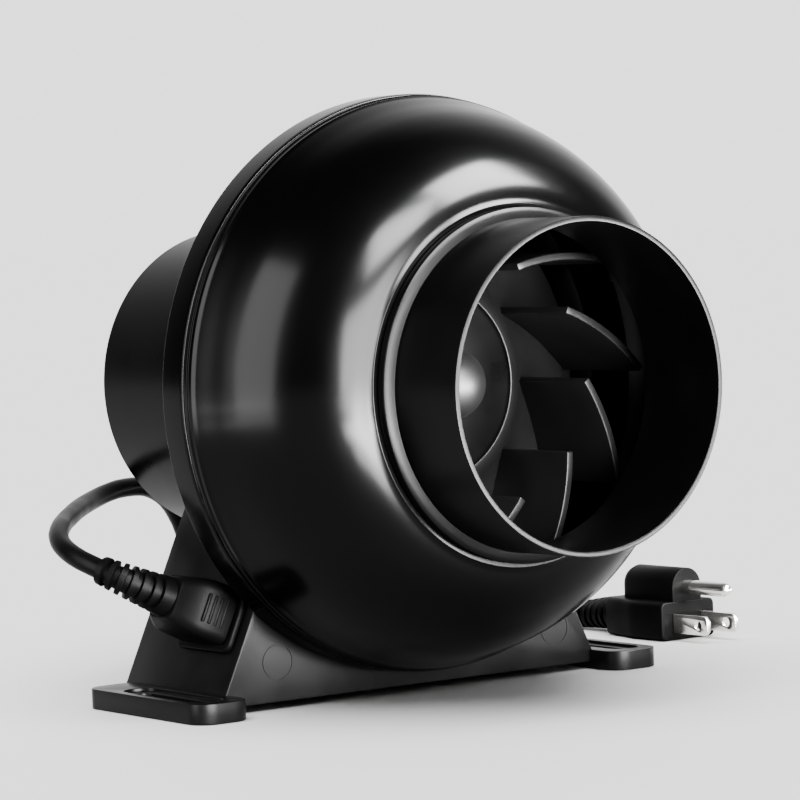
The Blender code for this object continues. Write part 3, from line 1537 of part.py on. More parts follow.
def plug_strain_relief():
    """The tapered sleeve behind the plug, sloping down to the cord on the floor."""
    start = PLUG @ Vector((0, -PLUG_LENGTH - GAP, PLUG_BOX_H / 2))
    backwards = PLUG.to_3x3() @ Vector((0, -1, 0))
    cord = through(LOWER_ROUTE, CORD_SAMPLE)
    away = (cord[-2] - cord[-1]).normalized()
    points = joining(start, backwards, cord[-1] - away * GAP, away, PLUG_RELIEF_L / 3, 5)
    radii = [1.0 - (1.0 - RELIEF_END_R / PLUG_RELIEF_R) * at / 5 for at in range(6)]
    return curve_piece("plug_strain_relief", points, PLUG_RELIEF_R, SATIN_BLACK, radii)


front_housing()
rear_housing()
housing_gasket()
housing_screws()
impeller()
rotor_cup()
rotor_cage()
motor_shaft()
shaft_circlip()
hub_cap()
motor_base()
stator_core()
stator_winding()
bearing("bearing_front", BEARING_FRONT_Y)
bearing("bearing_rear", BEARING_REAR_Y)
motor_support()
motor_screws()
lead_grommet()
motor_lead()
terminal_block()
capacitor()
base_bracket()
base_screws()
base_cover()
cover_screws()
iec_inlet()
inlet_pins()
inlet_wires()
connector_body()
connector_strain_relief()
mains_cord()
cord_coil()
coil_tie()
plug_body()
plug_blades()
plug_ground_pin()
plug_strain_relief()
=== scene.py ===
"""Inline duct fan: the visual pieces, the cord and the studio over the CAD frame, in metres with +Z up.

Sizes are in millimetres unless they say otherwise. The fan's axis runs along Y at AXIS_H.
"""

import math

import bmesh
import bpy
from mathutils import Matrix, Vector

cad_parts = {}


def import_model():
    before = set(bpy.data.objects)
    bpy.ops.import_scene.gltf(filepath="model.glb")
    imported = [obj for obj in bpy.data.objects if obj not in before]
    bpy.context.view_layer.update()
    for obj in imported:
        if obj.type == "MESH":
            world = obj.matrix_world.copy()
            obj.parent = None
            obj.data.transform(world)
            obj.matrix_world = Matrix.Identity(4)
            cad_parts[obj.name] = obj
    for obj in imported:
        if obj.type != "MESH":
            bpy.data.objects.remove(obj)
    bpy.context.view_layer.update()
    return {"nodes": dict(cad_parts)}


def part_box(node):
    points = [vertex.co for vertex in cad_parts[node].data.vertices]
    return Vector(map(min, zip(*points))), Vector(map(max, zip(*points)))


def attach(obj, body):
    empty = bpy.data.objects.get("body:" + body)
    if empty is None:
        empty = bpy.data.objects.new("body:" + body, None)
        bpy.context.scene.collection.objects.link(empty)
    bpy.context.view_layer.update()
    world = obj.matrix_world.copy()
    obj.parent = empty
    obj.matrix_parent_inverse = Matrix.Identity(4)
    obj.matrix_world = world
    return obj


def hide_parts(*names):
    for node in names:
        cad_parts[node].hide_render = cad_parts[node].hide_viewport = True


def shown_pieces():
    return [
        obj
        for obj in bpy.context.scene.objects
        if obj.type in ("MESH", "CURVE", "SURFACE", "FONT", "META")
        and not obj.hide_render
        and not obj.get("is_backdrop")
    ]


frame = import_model()

MM = 0.001
AXIS_H = 95.25

for store in (bpy.data.lights, bpy.data.cameras):
    for unused in [entry for entry in store if entry.users == 0]:
        store.remove(unused)


# Camera

CAMERA_AT = Vector((-0.64444, -0.90104, 0.14293))
AZIMUTH = math.radians(-35.57)
ELEVATION = math.radians(2.74)
ROLL = math.radians(-2.24)


def camera():
    data = bpy.data.cameras.new("camera")
    data.lens = 162.0
    data.sensor_width = 36.0
    data.clip_start = 0.05
    data.clip_end = 50.0
    made = bpy.data.objects.new("camera", data)
    bpy.context.scene.collection.objects.link(made)
    flat = math.cos(ELEVATION)
    back = Vector((math.sin(AZIMUTH) * flat, -math.cos(AZIMUTH) * flat, math.sin(ELEVATION)))
    right = Vector((math.cos(AZIMUTH), math.sin(AZIMUTH), 0.0))
    up = back.cross(right)
    right = right * math.cos(ROLL) + up * math.sin(ROLL)
    up = back.cross(right)
    turn = Matrix((right, up, back)).transposed().to_4x4()
    made.matrix_world = Matrix.Translation(CAMERA_AT) @ turn
    bpy.context.scene.camera = made
    return made


# Materials


def surface(name, colour, rough, metallic=0.0, grain=900.0, bump=0.02, vary=0.05, specular=0.5):
    """A Principled material whose roughness, shade and relief vary with fine and coarse noise."""
    material = bpy.data.materials.new(name)
    material.use_nodes = True
    nodes, links = material.node_tree.nodes, material.node_tree.links
    shader = nodes["Principled BSDF"]
    shader.inputs["Metallic"].default_value = metallic
    shader.inputs["Specular IOR Level"].default_value = specular
    where = nodes.new("ShaderNodeTexCoord")
    coarse = nodes.new("ShaderNodeTexNoise")
    coarse.inputs["Scale"].default_value = grain / 24
    coarse.inputs["Detail"].default_value = 4.0
    fine = nodes.new("ShaderNodeTexNoise")
    fine.inputs["Scale"].default_value = grain
    fine.inputs["Detail"].default_value = 3.0
    links.new(where.outputs["Object"], coarse.inputs["Vector"])
    links.new(where.outputs["Object"], fine.inputs["Vector"])
    spread = nodes.new("ShaderNodeMapRange")
    spread.inputs["From Min"].default_value = 0.3
    spread.inputs["From Max"].default_value = 0.7
    spread.inputs["To Min"].default_value = max(0.02, rough - vary)
    spread.inputs["To Max"].default_value = min(1.0, rough + vary)
    links.new(coarse.outputs["Fac"], spread.inputs["Value"])
    links.new(spread.outputs["Result"], shader.inputs["Roughness"])
    tint = nodes.new("ShaderNodeMix")
    tint.data_type = "RGBA"
    tint.inputs[6].default_value = (*[value * 0.86 for value in colour], 1.0)
    tint.inputs[7].default_value = (*[min(1.0, value * 1.12) for value in colour], 1.0)
    links.new(fine.outputs["Fac"], tint.inputs[0])
    links.new(tint.outputs[2], shader.inputs["Base Color"])
    relief = nodes.new("ShaderNodeBump")
    relief.inputs["Strength"].default_value = bump
    relief.inputs["Distance"].default_value = 0.0002
    links.new(fine.outputs["Fac"], relief.inputs["Height"])
    links.new(relief.outputs["Normal"], shader.inputs["Normal"])
    return material


def black(name, shade, rough, grain, bump, vary, specular):
    return surface(name, (shade, shade, shade), rough, 0.0, grain, bump, vary, specular)


GLOSS = black("gloss_black", 0.00003, 0.19, grain=500, bump=0.004, vary=0.02, specular=0.052)
SPIGOT = black("spigot_black", 0.00006, 0.3, grain=1500, bump=0.03, vary=0.03, specular=0.040)
SATIN = black("satin_black", 0.0002, 0.34, grain=1600, bump=0.06, vary=0.05, specular=0.056)
MATTE = black("matte_black", 0.0002, 0.42, grain=2200, bump=0.12, vary=0.05, specular=0.020)
BLADE = black("impeller_black", 0.0007, 0.36, grain=1800, bump=0.05, vary=0.05, specular=0.085)
CORD = black("cord_pvc", 0.0002, 0.36, grain=2600, bump=0.08, vary=0.06, specular=0.028)
CAP = black("cap_black", 0.0004, 0.44, grain=1500, bump=0.02, vary=0.03, specular=0.2)
RUBBER = black("rubber", 0.0025, 0.6, grain=3000, bump=0.15, vary=0.06, specular=0.05)
STEEL = surface("zinc_steel", (0.62, 0.62, 0.6), 0.3, 1.0, grain=2500, bump=0.05, vary=0.08)
PAINTED = black("rotor_paint", 0.00004, 0.3, grain=1400, bump=0.05, vary=0.05, specular=0.020)
ALUMINIUM = surface("cast_aluminium", (0.58, 0.58, 0.59), 0.46, 1.0, grain=1800, bump=0.2, vary=0.08)
LAMINATION = surface("electrical_steel", (0.33, 0.34, 0.36), 0.5, 1.0, grain=2600, bump=0.2, vary=0.1)
COPPER = surface("copper_wire", (0.7, 0.3, 0.13), 0.32, 1.0, grain=3200, bump=0.4, vary=0.08)
NICKEL = surface("nickel_plate", (0.78, 0.77, 0.74), 0.2, 1.0, grain=1600, bump=0.03, vary=0.06)
NYLON = surface("nylon", (0.74, 0.72, 0.65), 0.45, grain=1600, bump=0.08, vary=0.06)
SHELL = surface("capacitor_shell", (0.52, 0.53, 0.55), 0.4, grain=1600, bump=0.08, vary=0.06)
BROWN = surface("brown_wire", (0.16, 0.07, 0.03), 0.42, grain=2600, bump=0.08, vary=0.05)
BLUE = surface("blue_wire", (0.05, 0.12, 0.4), 0.42, grain=2600, bump=0.08, vary=0.05)
GREEN = surface("green_wire", (0.06, 0.3, 0.08), 0.42, grain=2600, bump=0.08, vary=0.05)

# Nodes that keep their CAD shape, and the material each one gets
HIDDEN_NODES = {
    "housing_gasket": RUBBER,
    "rotor_cage": LAMINATION,
    "motor_shaft": STEEL,
    "shaft_circlip": STEEL,
    "motor_base": ALUMINIUM,
    "stator_core": LAMINATION,
    "stator_winding": COPPER,
    "bearing_front": STEEL,
    "bearing_rear": STEEL,
    "lead_grommet": RUBBER,
    "motor_lead": CORD,
    "terminal_block": NYLON,
    "capacitor": SHELL,
    "inlet_pin_line": NICKEL,
    "inlet_pin_neutral": NICKEL,
    "inlet_pin_earth": NICKEL,
    "wire_line": BROWN,
    "wire_neutral": BLUE,
    "wire_earth": GREEN,
}


# Building


def obj(name, mesh, material=None, matrix=None):
    made = bpy.data.objects.new(name, mesh)
    bpy.context.scene.collection.objects.link(made)
    if matrix is not None:
        made.matrix_world = matrix
    if material:
        mesh.materials.append(material)
    return made


def built(name, build, material, matrix=None, angle=35):
    mesh = bpy.data.meshes.new(name)
    shape = bmesh.new()
    build(shape)
    bmesh.ops.recalc_face_normals(shape, faces=shape.faces)
    shape.to_mesh(mesh)
    shape.free()
    mesh.shade_smooth()
    mesh.set_sharp_from_angle(angle=math.radians(angle))
    return obj(name, mesh, material, matrix)


def settle(made):
    """Makes an object's modifiers part of its mesh."""
    bpy.context.view_layer.update()
    graph = bpy.context.evaluated_depsgraph_get()
    mesh = bpy.data.meshes.new_from_object(made.evaluated_get(graph), depsgraph=graph)
    made.modifiers.clear()
    made.data = mesh
    return made


def cut(made, cutter, angle=35, even=False):
    """Takes the cutter away from an object; even keeps its large flat faces free of shading cracks."""
    modifier = made.modifiers.new("cut", "BOOLEAN")
    modifier.operation = "DIFFERENCE"
    modifier.solver = "EXACT"
    modifier.object = cutter
    settle(made)
    made.data.shade_smooth()
    made.data.set_sharp_from_angle(angle=math.radians(angle))
    if even:
        weighted = made.modifiers.new("even", "WEIGHTED_NORMAL")
        weighted.keep_sharp = True
        settle(made)
    bpy.data.objects.remove(cutter, do_unlink=True)
    return made


def bevelled(made, width, segments=3, angle=30):
    modifier = made.modifiers.new("edges", "BEVEL")
    modifier.width = width * MM
    modifier.segments = segments
    modifier.limit_method = "ANGLE"
    modifier.angle_limit = math.radians(angle)
    settle(made)
    made.data.shade_smooth()
    made.data.set_sharp_from_angle(angle=math.radians(40))
    return made


def joined(name, parts):
    """One object out of several that share a material or keep their own."""
    shape = bmesh.new()
    mesh = bpy.data.meshes.new(name)
    materials = []
    for part in parts:
        base = part.data.materials[0]
        if base not in materials:
            materials.append(base)
        part.data.transform(part.matrix_world)
        count = len(shape.faces)
        shape.from_mesh(part.data)
        shape.faces.ensure_lookup_table()
        for face in shape.faces[count:]:
            face.material_index = materials.index(base)
    shape.to_mesh(mesh)
    shape.free()
    for material in materials:
        mesh.materials.append(material)
    for part in parts:
        bpy.data.objects.remove(part, do_unlink=True)
    mesh.set_sharp_from_angle(angle=math.radians(40))
    return obj(name, mesh)


def fillets(profile, radius=0.4, steps=3, least=25):
    """Rounds the sharp corners of a closed profile."""
    out = []
    count = len(profile)
    for at in range(count):
        before, here, after = (Vector(profile[(at + move) % count]) for move in (-1, 0, 1))
        one, two = before - here, after - here
        turn = math.degrees(math.pi - one.angle(two)) if one.length and two.length else 0
        if turn < least or here.x <= 0.0:
            out.append(tuple(here))
            continue
        reach = min(radius * math.tan(math.radians(turn) / 2), one.length * 0.45, two.length * 0.45)
        start, end = here + one.normalized() * reach, here + two.normalized() * reach
        for step in range(steps + 1):
            t = step / steps
            out.append(tuple(start * (1 - t) ** 2 + here * 2 * t * (1 - t) + end * t * t))
    return out


def lathe(name, profile, material=None, steps=192, matrix=None, angle=35):
    """Turns a closed profile of (radius, height), in millimetres, round its own Z."""

    def build(shape):
        rings = []
        for radius, height in profile:
            if radius <= 0.0:
                rings.append([shape.verts.new((0, 0, height * MM))])
                continue
            ring = []
            for step in range(steps):
                turn = math.tau * step / steps
                x, y = radius * MM * math.cos(turn), radius * MM * math.sin(turn)
                ring.append(shape.verts.new((x, y, height * MM)))
            rings.append(ring)
        for one, two in zip(rings, rings[1:] + rings[:1]):
            if len(one) == 1 and len(two) == 1:
                continue
            for step in range(steps):
                after = (step + 1) % steps
                corners = [one[step % len(one)], one[after % len(one)]]
                corners += [two[after % len(two)], two[step % len(two)]]
                shape.faces.new(list(dict.fromkeys(corners)))

    return built(name, build, material, matrix, angle)


def axle():
    """Puts a turned shape's own Z on the fan's axis, so that its heights run along +Y."""
    return Matrix.Translation((0, 0, AXIS_H * MM)) @ Matrix.Rotation(math.radians(-90), 4, "X")


def turned(name, profile, material=None, steps=192, radius=0.4, angle=35):
    return lathe(name, fillets(profile, radius), material, steps, axle(), angle)


def cylinder(shape, radius, start, end, segments=32):
    start, end = Vector(start) * MM, Vector(end) * MM
    along = end - start
    turn = Vector((0, 0, 1)).rotation_difference(along).to_matrix().to_4x4()
    bmesh.ops.create_cone(
        shape,
        cap_ends=True,
        segments=segments,
        radius1=radius * MM,
        radius2=radius * MM,
        depth=along.length,
        matrix=Matrix.Translation((start + end) / 2) @ turn,
    )


def block(shape, low, high, matrix=None):
    low, high = Vector(low) * MM, Vector(high) * MM
    placed = Matrix.Translation((low + high) / 2) @ Matrix.Diagonal((*(high - low), 1.0))
    bmesh.ops.create_cube(shape, size=1.0, matrix=placed if matrix is None else matrix @ placed)


def loft(shape, sections):
    """A skin over sections with the same number of points, with a flat face at either end."""
    rings = [[shape.verts.new(Vector(point) * MM) for point in section] for section in sections]
    for ring, following in zip(rings[:-1], rings[1:]):
        for at in range(len(ring)):
            after = (at + 1) % len(ring)
            shape.faces.new((ring[at], ring[after], following[after], following[at]))
    shape.faces.new(rings[0])
    shape.faces.new(rings[-1])


def rounded(half_x, half_y, corner, steps=8):
    """The outline of a rectangle with round corners."""
    points = []
    for quarter, (sign_x, sign_y) in enumerate(((1, 1), (-1, 1), (-1, -1), (1, -1))):
        for step in range(steps + 1):
            angle = math.radians(90) * (quarter + step / steps)
            x = sign_x * (half_x - corner) + corner * math.cos(angle)
            y = sign_y * (half_y - corner) + corner * math.sin(angle)
            points.append((x, y))
    return points


def around(count, start=0.0):
    return [math.radians(start) + math.tau * at / count for at in range(count)]


def on_circle(radius, angle, y=0.0):
    return Vector((radius * math.cos(angle), y, AXIS_H + radius * math.sin(angle)))


def spline(route, spacing):
    """Evenly spaced points on a smooth curve through a route in millimetres."""
    knots = [Vector(point) for point in route]
    knots = [2 * knots[0] - knots[1], *knots, 2 * knots[-1] - knots[-2]]
    fine = []
    for at in range(1, len(knots) - 2):
        before, start, end, after = knots[at - 1 : at + 3]
        for step in range(12):
            t = step / 12
            point = 2 * start + (end - before) * t + (2 * before - 5 * start + 4 * end - after) * t**2
            fine.append((point + (3 * start - before - 3 * end + after) * t**3) / 2)
    fine.append(knots[-2])
    runs = [0.0]
    for start, end in zip(fine[:-1], fine[1:]):
        runs.append(runs[-1] + (end - start).length)
    count = max(2, round(runs[-1] / spacing))
    points, at = [fine[0]], 1
    for step in range(1, count):
        wanted = runs[-1] * step / count
        while runs[at] < wanted:
            at += 1
        points.append(fine[at - 1].lerp(fine[at], (wanted - runs[at - 1]) / (runs[at] - runs[at - 1])))
    return [*points, fine[-1]]


def bezier(start, start_dir, end, end_dir, reach, count):
    one, two = start + start_dir * reach, end - end_dir * reach
    points = []
    for step in range(count + 1):
        t = step / count
        point = start * (1 - t) ** 3 + one * 3 * t * (1 - t) ** 2
        points.append(point + two * 3 * t * t * (1 - t) + end * t**3)
    return points


def sweep(name, points, radii, material, sides=32, angle=35):
    """A closed skin of circles of the given radii along points, in millimetres."""

    def build(shape):
        side = None
        sections = []
        for at, point in enumerate(points):
            along = (points[min(at + 1, len(points) - 1)] - points[max(at - 1, 0)]).normalized()
            if side is None:
                side = along.orthogonal().normalized()
            side = (side - along * side.dot(along)).normalized()
            up = along.cross(side)
            ring = []
            for step in range(sides):
                turn = math.tau * step / sides
                ring.append(point + (side * math.cos(turn) + up * math.sin(turn)) * radii[at])
            sections.append(ring)
        loft(shape, sections)

    return built(name, build, material, angle=angle)


def stands_for(made, body, slot, *nodes):
    """Fixes a piece to a body and hides the CAD nodes that it replaces; the slot argument is not used."""
    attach(made, body)
    if nodes:
        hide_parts(*nodes)
    return made


# Casing

SPIGOT_R = 49.0
BORE_R = 47.4
MOUTH = 95.0
WALL_T = 2.2
FLANGE_FRONT = -14.1
FLANGE_REAR = -2.9
FLANGE_BORE_R = 79.0
SCREW_CIRCLE_R = 82.9
DOME_R = 76.0


def shoulder(outer_r, inner_r, start_y, end_y, power, steps=28):
    """A rounded quarter outline, from the outer radius at its start to the inner radius at its end."""
    points = []
    for step in range(steps + 1):
        angle = math.radians(90) * step / steps
        across = math.cos(angle) ** (2 / power) if step < steps else 0.0
        along = math.sin(angle) ** (2 / power)
        points.append((inner_r + (outer_r - inner_r) * across, start_y + (end_y - start_y) * along))
    return points


REAR_DOME = shoulder(DOME_R, SPIGOT_R, FLANGE_REAR, FLANGE_REAR + 50.0, 1.5)


def smooth_through(points, spacing):
    return [(point.x, point.y) for point in spline([(x, y, 0.0) for x, y in points], spacing)]


# Outline of the front shell from its rim to its neck, as (radius, y), chosen to follow the photo
BULGE = [
    (86.8, -18.3),
    (86.1, -20.5),
    (84.6, -25.0),
    (83.0, -30.0),
    (81.2, -35.0),
    (78.9, -40.0),
    (76.0, -45.0),
    (72.2, -50.0),
    (67.4, -54.8),
    (63.0, -57.9),
    (58.6, -60.1),
    (54.4, -61.3),
]


def inner_line(points, depth):
    """An outline of (radius, y) moved towards the axis by a depth; a negative depth moves it outwards."""
    moved = []
    for at, point in enumerate(points):
        run = Vector(points[min(at + 1, len(points) - 1)]) - Vector(points[max(at - 1, 0)])
        run.normalize()
        side = Vector((run.y, -run.x))
        if side.x > 0:
            side = -side
        moved.append((point[0] + side.x * depth, point[1] + side.y * depth))
    return moved


def casing_looks(made, spigot_face):
    """Gives the spigot, the bore and all faces that look inwards the duller black."""
    made.data.materials.append(SPIGOT)
    for face in made.data.polygons:
        centre = face.center
        radius = math.hypot(centre.x, centre.y) / MM
        inward = face.normal.x * centre.x + face.normal.y * centre.y < 0.0
        if spigot_face(centre.z / MM) or radius < BORE_R + 0.5 or inward:
            face.material_index = 1


def front_housing():
    bulge = smooth_through(BULGE, 1.2)
    inner = inner_line(bulge, WALL_T)
    inner = [point for point in inner if point[1] < -24.0 and point[0] > BORE_R + 1.5]
    shell = [
        (87.6, -14.45),
        (87.6, -15.9),
        (87.15, -16.25),
        (87.15, -17.8),
        *bulge,
        (53.6, -61.9),
        (51.6, -61.9),
        (51.6, -62.3),
        (52.4, -62.7),
        (52.4, -65.2),
        (51.0, -65.9),
        (SPIGOT_R, -66.1),
        (SPIGOT_R, -MOUTH),
        (BORE_R, -MOUTH),
        (BORE_R, -61.2),
        *reversed(inner),
        (FLANGE_BORE_R, -24.0),
        (FLANGE_BORE_R, -14.45),
    ]
    made = turned("v_front_housing", shell, GLOSS, 256, 0.35, 28)
    casing_looks(made, lambda y: y < -63.6)
    return stands_for(made, "base", "casing", "front_housing")


def rear_housing():
    inner = [point for point in inner_line(REAR_DOME, WALL_T) if point[0] > BORE_R + 0.4]
    shell = [
        (SPIGOT_R, MOUTH),
        *reversed(REAR_DOME),
        (86.6, FLANGE_REAR),
        (86.9, FLANGE_REAR - 0.5),
        (87.7, FLANGE_REAR - 0.6),
        (88.15, FLANGE_REAR - 1.0),
        (88.15, -12.9),
        (87.7, FLANGE_FRONT),
        (FLANGE_BORE_R, FLANGE_FRONT),
        *inner,
        (BORE_R, 45.0),
        (BORE_R, MOUTH),
    ]
    made = turned("v_rear_housing", shell, GLOSS, 256, 0.35, 28)

    def recesses(shape):
        for angle in around(6, 30):
            low, high = on_circle(SCREW_CIRCLE_R, angle, -5.5), on_circle(SCREW_CIRCLE_R, angle, 0.0)
            cylinder(shape, 3.0, low, high)

    cut(made, built("recesses", recesses, GLOSS), angle=28, even=True)
    casing_looks(made, lambda y: y > 45.5)
    return stands_for(made, "base", "casing", "rear_housing")


# Where the screws go up into the base, as (x, y)
COVER_SCREWS = ((0.0, 46.4), (-52.0, 44.5), (52.0, 44.5))
BASE_SCREWS = ((-14.0, 5.0), (14.0, 5.0), (-22.0, 31.5), (22.0, 31.5))


def screw(name, at, direction, length, node):
    """A pan head screw with a cross recess, its head bearing at a point."""
    at, direction = Vector(at), Vector(direction)
    turn = Vector((0, 0, 1)).rotation_difference(direction).to_matrix().to_4x4()
    place = Matrix.Translation(at * MM) @ turn
    profile = [
        (0.0, -2.0),
        (1.4, -1.95),
        (2.1, -1.65),
        (2.6, -1.0),
        (2.7, -0.4),
        (2.6, 0.0),
        (1.5, 0.0),
        (1.5, length - 0.8),
        (0.8, length),
        (0.0, length),
    ]
    made = lathe(name, profile, STEEL, 32, place)
    for long, wide in ((1.5, 0.3), (0.3, 1.5)):

        def slot(shape, long=long, wide=wide):
            block(shape, (-long, -wide, -3.0), (long, wide, -1.0), place)

        cut(made, built("slot", slot, STEEL))
    return stands_for(made, "base", "steel", node)


def screws():
    for at, angle in enumerate(around(6, 30), 1):
        head = on_circle(SCREW_CIRCLE_R, angle, -5.2)
        screw(f"v_housing_screw_{at}", head, (0, -1, 0), 12.0, f"housing_screw_{at}")
    for at, angle in enumerate(around(4, 45), 1):
        head = on_circle(22.0, angle, 23.8)
        screw(f"v_motor_screw_{at}", head, (0, -1, 0), 7.0, f"motor_screw_{at}")
    for at, (x, y) in enumerate(COVER_SCREWS, 1):
        screw(f"v_cover_screw_{at}", (x, y, 2.1), (0, 0, 1), 8.0, f"cover_screw_{at}")
    for at in range(1, 5):
        low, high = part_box(f"base_screw_{at}")
        middle = (low + high) / 2 / MM
        head = low.z / MM + 2.0
        screw(f"v_base_screw_{at}", (middle.x, middle.y, head), (0, 0, 1), 11.0, f"base_screw_{at}")


# Rotor

BLADES = 10
BLADE_HALF_T = 1.15
BLADE_FOOT_Y = -9.2
BLADE_TIP_Y = -46.6
CAP_R = 11.0
CAP_FOOT_Y = -17.8
CAP_DOME_Y = -25.9
DOME_STEPS = 16


def arc_points(one, two, three, steps):
    """Angles, radius and centre of the arc from the first point through the second to the third."""
    (ax, ay), (bx, by), (cx, cy) = one, two, three
    twice = 2 * (ax * (by - cy) + bx * (cy - ay) + cx * (ay - by))
    a2, b2, c2 = ax * ax + ay * ay, bx * bx + by * by, cx * cx + cy * cy
    centre_x = (a2 * (by - cy) + b2 * (cy - ay) + c2 * (ay - by)) / twice
    centre_y = (a2 * (cx - bx) + b2 * (ax - cx) + c2 * (bx - ax)) / twice
    radius = math.hypot(ax - centre_x, ay - centre_y)
    first = math.atan2(ay - centre_y, ax - centre_x)
    turn = math.atan2(cy - centre_y, cx - centre_x) - first
    turn = (turn + math.pi) % math.tau - math.pi
    return [first + turn * step / steps for step in range(steps + 1)], radius, (centre_x, centre_y)


def blade(start):
    """One backward-curved blade standing on the back plate, with rounded edges."""

    def polar(radius, angle):
        return (radius * math.cos(angle), radius * math.sin(angle))

    one = polar(36.5, start)
    two = polar(47.25, start - math.radians(19.2))
    three = polar(58.0, start - math.radians(33.5))
    angles, radius, (centre_x, centre_y) = arc_points(one, two, three, 14)
    sides = []
    for offset in (BLADE_HALF_T, -BLADE_HALF_T):
        reach = radius + offset
        sides.append([(centre_x + reach * math.cos(a), centre_y + reach * math.sin(a)) for a in angles])
    outline = sides[0] + sides[1][::-1]

    def build(shape):
        loft(shape, [[(x, y, AXIS_H + z) for x, z in outline] for y in (BLADE_FOOT_Y, BLADE_TIP_Y)])

    return bevelled(built("blade", build, BLADE), 0.4, 3, 50)


def impeller():
    hub = [
        (59.9, -6.8),
        (60.0, -9.0),
        (52.0, -9.6),
        (46.0, -10.4),
        (41.5, -11.3),
        (38.0, -12.6),
        (35.5, -14.2),
        (33.4, -16.3),
        (31.2, -17.4),
        (29.6, -17.7),
        (29.6, 2.0),
        (32.0, 2.0),
        (32.1, -8.0),
        (48.0, -7.3),
    ]
    parts = [turned("hub", hub, BLADE, 192, 0.4)]
    parts += [blade(start) for start in around(BLADES, -1.0)]
    made = joined("v_impeller", parts)
    return stands_for(made, "rotor", "moulding", "impeller")


def rotor():
    bell = [
        (29.3, 14.0),
        (29.3, -17.75),
        (28.0, -17.7),
        (23.0, -17.5),
        (3.3, -17.5),
        (3.3, -14.0),
        (6.0, -14.0),
        (6.0, -15.7),
        (25.3, -16.0),
        (27.5, -14.0),
        (27.5, 14.0),
    ]
    stands_for(turned("v_rotor_cup", bell, PAINTED, 160, 0.3), "rotor", "rotor_paint", "rotor_cup")
    dome = []
    for step in range(DOME_STEPS + 1):
        angle = math.radians(90) * step / DOME_STEPS
        radius = CAP_R * math.cos(angle) if step < DOME_STEPS else 0.0
        dome.append((radius, CAP_DOME_Y - CAP_R * math.sin(angle)))
    cap = [(CAP_R, CAP_FOOT_Y), *dome, (0.0, -19.9), (3.3, -19.9), (3.3, CAP_FOOT_Y)]
    stands_for(turned("v_hub_cap", cap, CAP, 96, 0.3), "rotor", "casing", "hub_cap")


def motor_support():
    cup = [
        (35.2, 23.5),
        (35.2, 5.0),
        (33.0, 5.0),
        (33.0, 20.5),
        (0.0, 20.5),
        (0.0, 23.5),
    ]
    parts = [turned("cup", cup, SATIN, 128, 0.5)]
    seat = inner_line(REAR_DOME, WALL_T + 0.5)
    outer = [point for point in seat if 10.9 < point[1] < 21.6]
    ring = [*reversed(outer), *[(radius - 2.0, y) for radius, y in outer]]
    parts.append(turned("ring", ring, SATIN, 160, 0.4))

    def vanes(shape):
        reach = outer[0][0] - 1.0
        for angle in around(8, 22.5):
            turn = Matrix.Translation((0, 0, AXIS_H * MM)) @ Matrix.Rotation(-angle, 4, "Y")
            block(shape, (34.1, 11.5, -1.0), (reach - 1.6, 21.0, 1.0), turn)

    parts.append(bevelled(built("vanes", vanes, SATIN), 0.5))
    made = joined("v_motor_support", parts)
    return stands_for(made, "base", "moulding", "motor_support")


# Base

LEAN = math.radians(24.5)
FOOT_X = 69.7
PAD_T = 6.0
UNDER = 2.1
TOP = 72.0
FRONT = FLANGE_REAR + 0.3
REAR = 54.0
WALL = 2.6
COLUMN_R = 4.4


def half_width(z):
    """Half the width of the base at a height; its sides lean inwards."""
    return FOOT_X - (z - PAD_T) * math.tan(LEAN)


def leaning(shape, low, high, front, rear, shrink=0.0):
    """A block with leaning sides, made narrower by an amount on either side."""
    foot, head = half_width(low) - shrink, half_width(high) - shrink
    corners = ((-foot, low), (foot, low), (head, high), (-head, high))
    loft(shape, [[(x, y, z) for x, z in corners] for y in (front, rear)])


def upright(name, outline, at, low, high):
    """An outline moved to a place and raised from one height to another."""

    def build(shape):
        loft(shape, [[(at[0] + x, at[1] + y, z) for x, y in outline] for z in (low, high)])

    return built(name, build, SATIN)


def casing_space(name, clearance):
    """What the rear housing takes up, grown by a clearance."""
    outline = inner_line(REAR_DOME, -clearance)
    profile = [
        (0.0, MOUTH),
        (SPIGOT_R + clearance, MOUTH),
        *[point for point in reversed(outline) if point[0] > SPIGOT_R + clearance + 0.05],
        (outline[0][0], FLANGE_FRONT),
        (0.0, FLANGE_FRONT),
    ]
    return lathe(name, profile, SATIN, 192, axle())


INLET_OUT = Vector((-math.cos(LEAN), 0.0, math.sin(LEAN)))
INLET_UP = Vector((math.sin(LEAN), 0.0, math.cos(LEAN)))
INLET_Z = 27.1
INLET_AT = Vector((-half_width(INLET_Z), 16.0, INLET_Z))
INLET = Matrix.Translation(INLET_AT * MM) @ Matrix(
    (
        (0.0, INLET_UP.x, INLET_OUT.x, 0.0),
        (-1.0, INLET_UP.y, INLET_OUT.y, 0.0),
        (0.0, INLET_UP.z, INLET_OUT.z, 0.0),
        (0.0, 0.0, 0.0, 1.0),
    )
)


